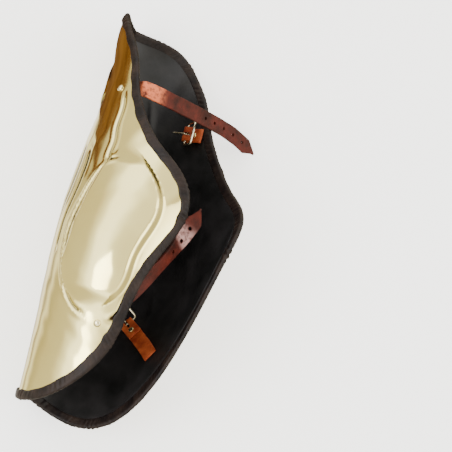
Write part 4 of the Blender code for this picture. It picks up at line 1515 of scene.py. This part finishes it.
@dataclass(frozen=True)
class LeatherFinish(Finish):
    """Leather: a grain of small cells, slow clouds of colour, wrinkles, and paler patches along a given
    stretch; on the calf strap these patches are a painted highlight.
    """

    base: tuple[float, float, float] = (0.004, 0.004, 0.004)
    pale: tuple[float, float, float] = (0.020, 0.018, 0.019)
    cloud_scale: float = 28.0
    grain_scale: float = 900.0
    grain: float = 0.25
    smooth: float = 0.32
    dull: float = 0.55
    shine: float = 0.5
    # The colour of the paler patches; on the calf strap it is a painted highlight.
    pale_patch_and_highlight: tuple[float, float, float] | None = None

    def make(self) -> bpy.types.Material:
        """Builds the node tree."""
        material, nodes, shader = self.start()
        cloud = nodes.noise(self.cloud_scale, 6.0, 0.62)
        tone = nodes.ramp(cloud, ((0.36, self.base), (0.74, self.pale)))
        # Paler patches over the piece's stretch mask: on the lower strap a painted highlight where it faces
        # the light.
        if self.pale_patch_and_highlight:
            patches = nodes.spread(nodes.noise(self.cloud_scale * 3, 5.0, 0.6), start=0.30, end=0.55)
            tone = nodes.mix(nodes.product(nodes.wear_and_highlight(), patches), tone, (*self.pale_patch_and_highlight, 1.0))
        cells = nodes.add("TexVoronoi", {"Vector": nodes.place(), "Scale": self.grain_scale})
        cells.feature = "DISTANCE_TO_EDGE"
        grain = nodes.bump(cells.outputs["Distance"], self.grain, 0.0003)
        wrinkles = nodes.noise(self.cloud_scale * 5, 5.0, 0.55)
        looks = {
            "Base Color": tone,
            "Specular IOR Level": self.shine,
            "Roughness": nodes.spread(cloud, self.smooth, self.dull),
            "Normal": nodes.bump(wrinkles, self.grain, 0.0008, grain),
        }
        nodes.fill(shader, looks)
        return material


@dataclass(frozen=True)
class WireFinish(Finish):
    """Bright pale wire with a few duller patches."""

    light: tuple[float, float, float] = (0.82, 0.76, 0.58)
    dark: tuple[float, float, float] = (0.60, 0.50, 0.32)
    cloud_scale: float = 220.0
    smooth: float = 0.16
    dull: float = 0.34

    def make(self) -> bpy.types.Material:
        """Builds the node tree."""
        material, nodes, shader = self.start()
        cloud = nodes.noise(self.cloud_scale, 4.0)
        looks = {
            "Base Color": nodes.ramp(cloud, ((0.4, self.light), (0.7, self.dark))),
            "Metallic": 1.0,
            "Roughness": nodes.spread(cloud, self.smooth, self.dull),
        }
        nodes.fill(shader, looks)
        return material


@dataclass
class Studio:
    """The camera at the photo's angle, a pale floor and soft light."""

    ground: Ground
    image: int = 452
    focus: tuple[float, float, float] = (0.0, 0.060, 0.224)
    focus_pixel: tuple[float, float] = (126.9, 201.8)
    distance: float = 2.2
    pixels_per_metre: float = 1000.0
    yaw: float = 41.5
    pitch: float = 13.7
    roll: float = 20.2
    sensor: float = 36.0
    floor_size: float = 12.0
    floor_tint: tuple[float, float, float] = (0.93, 0.93, 0.92)
    floor_glow: float = 1.3
    card_place: tuple[float, float, float] = (-0.22, 0.29, -0.06)
    card_size: tuple[float, float, float] = (0.46, 0.30, 1.0)
    card_clouds: float = 9.0
    glow: float = 3.2

    # The card's browns, over its clouds
    browns: ClassVar[tuple] = ((0.38, (0.17, 0.072, 0.024)), (0.66, (0.34, 0.17, 0.060)))

    # The lamps: name, place, size in metres and power in watts
    lamps: ClassVar[tuple] = (
        ("key_lamp", (-1.4, -0.9, 2.0), 1.2, 30.0),
        ("fill_lamp", (1.6, 0.6, 1.6), 1.6, 18.0),
    )

    # The room's light by height and from side to side: place from -1 to 1 as a share from 0 to 1, colour
    bands: ClassVar[tuple] = (
        (0.00, (0.24, 0.20, 0.13)),
        (0.05, (0.80, 0.76, 0.66)),
        (0.09, (0.16, 0.13, 0.07)),
        (0.14, (0.62, 0.59, 0.50)),
        (0.20, (0.26, 0.23, 0.15)),
        (0.34, (0.34, 0.31, 0.23)),
        (0.56, (0.36, 0.33, 0.25)),
        (0.66, (0.62, 0.60, 0.54)),
        (0.72, (1.00, 1.00, 1.00)),
        (0.86, (1.00, 1.00, 1.00)),
        (0.93, (0.56, 0.54, 0.47)),
        (1.00, (0.50, 0.48, 0.42)),
    )
    sides: ClassVar[tuple] = (
        (0.00, (1.00, 1.00, 1.00)),
        (0.60, (1.00, 1.00, 1.00)),
        (0.72, (0.62, 0.59, 0.50)),
        (0.84, (0.68, 0.65, 0.56)),
        (0.93, (1.00, 1.00, 1.00)),
        (1.00, (0.80, 0.79, 0.76)),
    )

    def camera(self) -> None:
        """Makes the camera: it looks at the focus from yaw, pitch and roll in the leg's frame."""
        yaw, pitch, roll = (math.radians(v) for v in (self.yaw, self.pitch, self.roll))
        toward = np.array((math.cos(yaw), math.sin(yaw), -math.tan(pitch))) * math.cos(pitch)
        level = np.array((-math.sin(yaw), math.cos(yaw), 0.0))
        upright = np.cross(toward, level)
        right = level * math.cos(roll) + upright * math.sin(roll)
        up = upright * math.cos(roll) - level * math.sin(roll)
        focal = self.pixels_per_metre * self.distance
        aside = (self.focus_pixel[0] - self.image / 2) / focal
        above = (self.image / 2 - self.focus_pixel[1]) / focal
        forward = -toward - aside * right - above * up
        forward /= np.linalg.norm(forward)
        right = right - right @ forward * forward
        right /= np.linalg.norm(right)
        axes = np.stack([right, np.cross(right, forward), -forward], axis=1)
        turn = Matrix((self.ground.turn @ axes).tolist()).to_4x4()
        place = self.ground.place(np.array([self.focus]) + self.distance * toward)[0]
        data = bpy.data.cameras.new("photo_camera")
        data.sensor_width = self.sensor
        data.lens = self.sensor * focal / self.image
        data.clip_start, data.clip_end = 0.05, 20.0
        camera = bpy.data.objects.new("photo_camera", data)
        camera.matrix_world = Matrix.Translation(Vector(place)) @ turn
        bpy.context.scene.collection.objects.link(camera)
        bpy.context.scene.camera = camera

    def floor(self) -> None:
        """Makes a plain pale floor. Polished brass doesn't mirror it, so that its edges stay dark."""
        bpy.ops.mesh.primitive_plane_add(size=self.floor_size, location=(0, 0, 0))
        floor = bpy.context.object
        floor.name = "studio_floor"
        material, nodes, shader = Finish("floor_paint").start()
        looks = {
            "Base Color": (*self.floor_tint, 1.0),
            "Roughness": 0.8,
            "Emission Color": (1.0, 1.0, 1.0, 1.0),
            "Emission Strength": self.floor_glow,
        }
        nodes.fill(shader, looks)
        floor.data.materials.append(material)
        floor.visible_glossy = False

    def lamp(self, name: str, place: tuple[float, float, float], size: float, power: float) -> None:
        """Makes a square soft lamp that looks at the greave."""
        data = bpy.data.lights.new(name, "AREA")
        data.shape = "SQUARE"
        data.size = size
        data.energy = power
        lamp = bpy.data.objects.new(name, data)
        lamp.location = place
        lamp.rotation_mode = "QUATERNION"
        lamp.rotation_quaternion = (-Vector(place)).to_track_quat("-Z", "Y")
        bpy.context.scene.collection.objects.link(lamp)

    def card(self) -> None:
        """Makes a brown card that only mirrors can see: the polished knee shows it, as in the photo."""
        bpy.ops.mesh.primitive_plane_add(size=1.0, location=self.card_place)
        card = bpy.context.object
        card.name = "studio_card"
        card.scale = self.card_size
        material, nodes, _ = Finish("card_paint").start()
        clouds = nodes.add("TexNoise", {"Scale": self.card_clouds}).outputs["Fac"]
        glow = nodes.add("Emission", {"Color": nodes.ramp(clouds, self.browns)})
        nodes.fill(nodes.tree.nodes["Material Output"], {"Surface": glow.outputs["Emission"]})
        card.data.materials.append(material)
        card.visible_camera = card.visible_diffuse = card.visible_shadow = False

    def sky(self) -> None:
        """Makes the room's light: soft bands by height, dimmer on the side away from the key lamp."""
        world = bpy.data.worlds.new("studio")
        bpy.context.scene.world = world
        world.use_nodes = True
        nodes = Nodes(world.node_tree)
        place = nodes.add("TexCoord", {}).outputs["Generated"]
        parts = nodes.add("SeparateXYZ", {"Vector": place}).outputs
        by_height = nodes.ramp(nodes.spread(parts["Z"], start=-1.0), self.bands)
        by_side = nodes.ramp(nodes.spread(parts["X"], start=-1.0), self.sides)
        light = nodes.mix(1.0, by_height, by_side, "MULTIPLY")
        nodes.fill(nodes.tree.nodes["Background"], {"Color": light, "Strength": self.glow})

    def build(self) -> None:
        """Makes the whole studio."""
        self.camera()
        self.floor()
        self.card()
        for name, place, size, power in self.lamps:
            self.lamp(name, place, size, power)
        self.sky()


def build_greave(sheet: LegSheet, rim: Rim, ground: Ground) -> None:
    """Builds every piece of the greave but the shell, from the lining to the rivets."""
    rivet_brass = BrassFinish("rivet_brass_finish", light=(0.85, 0.78, 0.52), dull=0.3).make()
    lining = LeatherFinish("black_lining_finish", grain=0.18, shine=0.3).make()
    binding = LeatherFinish(
        "binding_finish", base=(0.006, 0.004, 0.004), pale=(0.026, 0.016, 0.012), cloud_scale=60.0,
        smooth=0.30, dull=0.60, shine=0.18,
    ).make()
    knee_strap = LeatherFinish(
        "knee_strap_finish", base=(0.025, 0.004, 0.002), pale=(0.105, 0.013, 0.006), cloud_scale=70.0,
        smooth=0.45, dull=0.7, shine=0.2, pale_patch_and_highlight=(0.62, 0.150, 0.060),
    )
    # The calf strap's paler colour is a painted highlight where the strap faces the light.
    calf_strap = replace(knee_strap, name="calf_strap_finish", pale_patch_and_highlight=(0.42, 0.240, 0.220)).make()
    tab = LeatherFinish(
        "tab_finish", base=(0.20, 0.024, 0.006), pale=(0.50, 0.110, 0.030), cloud_scale=80.0,
        smooth=0.45, dull=0.7, shine=0.25,
    ).make()
    wire = WireFinish("wire_finish").make()

    Lining(sheet, rim, ground, lining).build()
    Binding(sheet, rim, ground, binding).build()
    routes = Routes(sheet, rim)
    knee_route, calf_route = routes.upper_strap(), routes.lower_strap()
    Strap("upper_strap", knee_route, 5, (0.14, 0.27), ground, knee_strap.make(), 31).build()
    # The lower strap's stretch from 0.76 to 0.86 of its length carries the painted highlight.
    Strap("lower_strap", calf_route, 3, (0.76, 0.86), ground, calf_strap, 32).build()
    upper = BuckleSeat(sheet, UPPER_BAR, UPPER_TAB_SLOPE, UPPER_TAB)
    lower = BuckleSeat(sheet, LOWER_BAR, LOWER_TAB_SLOPE, LOWER_TAB)
    Tab("upper_tab", upper, ground, tab, 33).build()
    Tab("lower_tab", lower, ground, tab, 34).build()
    for name, seat, folded, raised, rise in (
        ("upper_buckle", upper, True, UPPER_FRAME_RAISE, UPPER_PRONG_SLOPE),
        ("lower_buckle", lower, False, LOWER_FRAME_RAISE, LOWER_PRONG_SLOPE),
    ):
        buckle = Buckle(name, seat, folded, raised, rise, ground, wire)
        buckle.frame()
        buckle.prong()

    through_strap = INSIDE + STRAP + 3 * GAP
    rivets = {
        "rivet_strap_upper": ((UPPER_ROOT[0] * WRAP, UPPER_ROOT[1] * LENGTH), through_strap),
        "rivet_strap_lower": ((LOWER_ROOT[0] * WRAP, LOWER_ROOT[1] * LENGTH), through_strap + STRAP_EASE),
        "rivet_buckle_upper": (upper.on_tab(UPPER_TAB_RIVET), INSIDE + TAB + 4 * GAP),
        "stud_buckle_lower": (lower.on_tab(LOWER_TAB_STUD), INSIDE + 3 * TAB + WIRE + 6 * GAP),
    }
    for number, (arc, height) in enumerate(SIDE_RIVETS, start=1):
        rivets[f"rivet_side_{number}"] = ((arc * WRAP, height * LENGTH), 0.0)
    for node, ((arc, height), depth) in rivets.items():
        Rivet(node, arc, height, depth, sheet, ground, rivet_brass).build()


def main() -> None:
    """Loads the frame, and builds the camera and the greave."""
    logging.basicConfig(level=logging.INFO, format="%(name)s: %(message)s")
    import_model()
    sheet, rim, ground = LegSheet(), Rim(), Ground()
    Shell(sheet, rim, ground, BrassFinish("polished_brass_finish").make()).build()
    Studio(ground).build()
    build_greave(sheet, rim, ground)


if __name__ == "__main__":
    main()
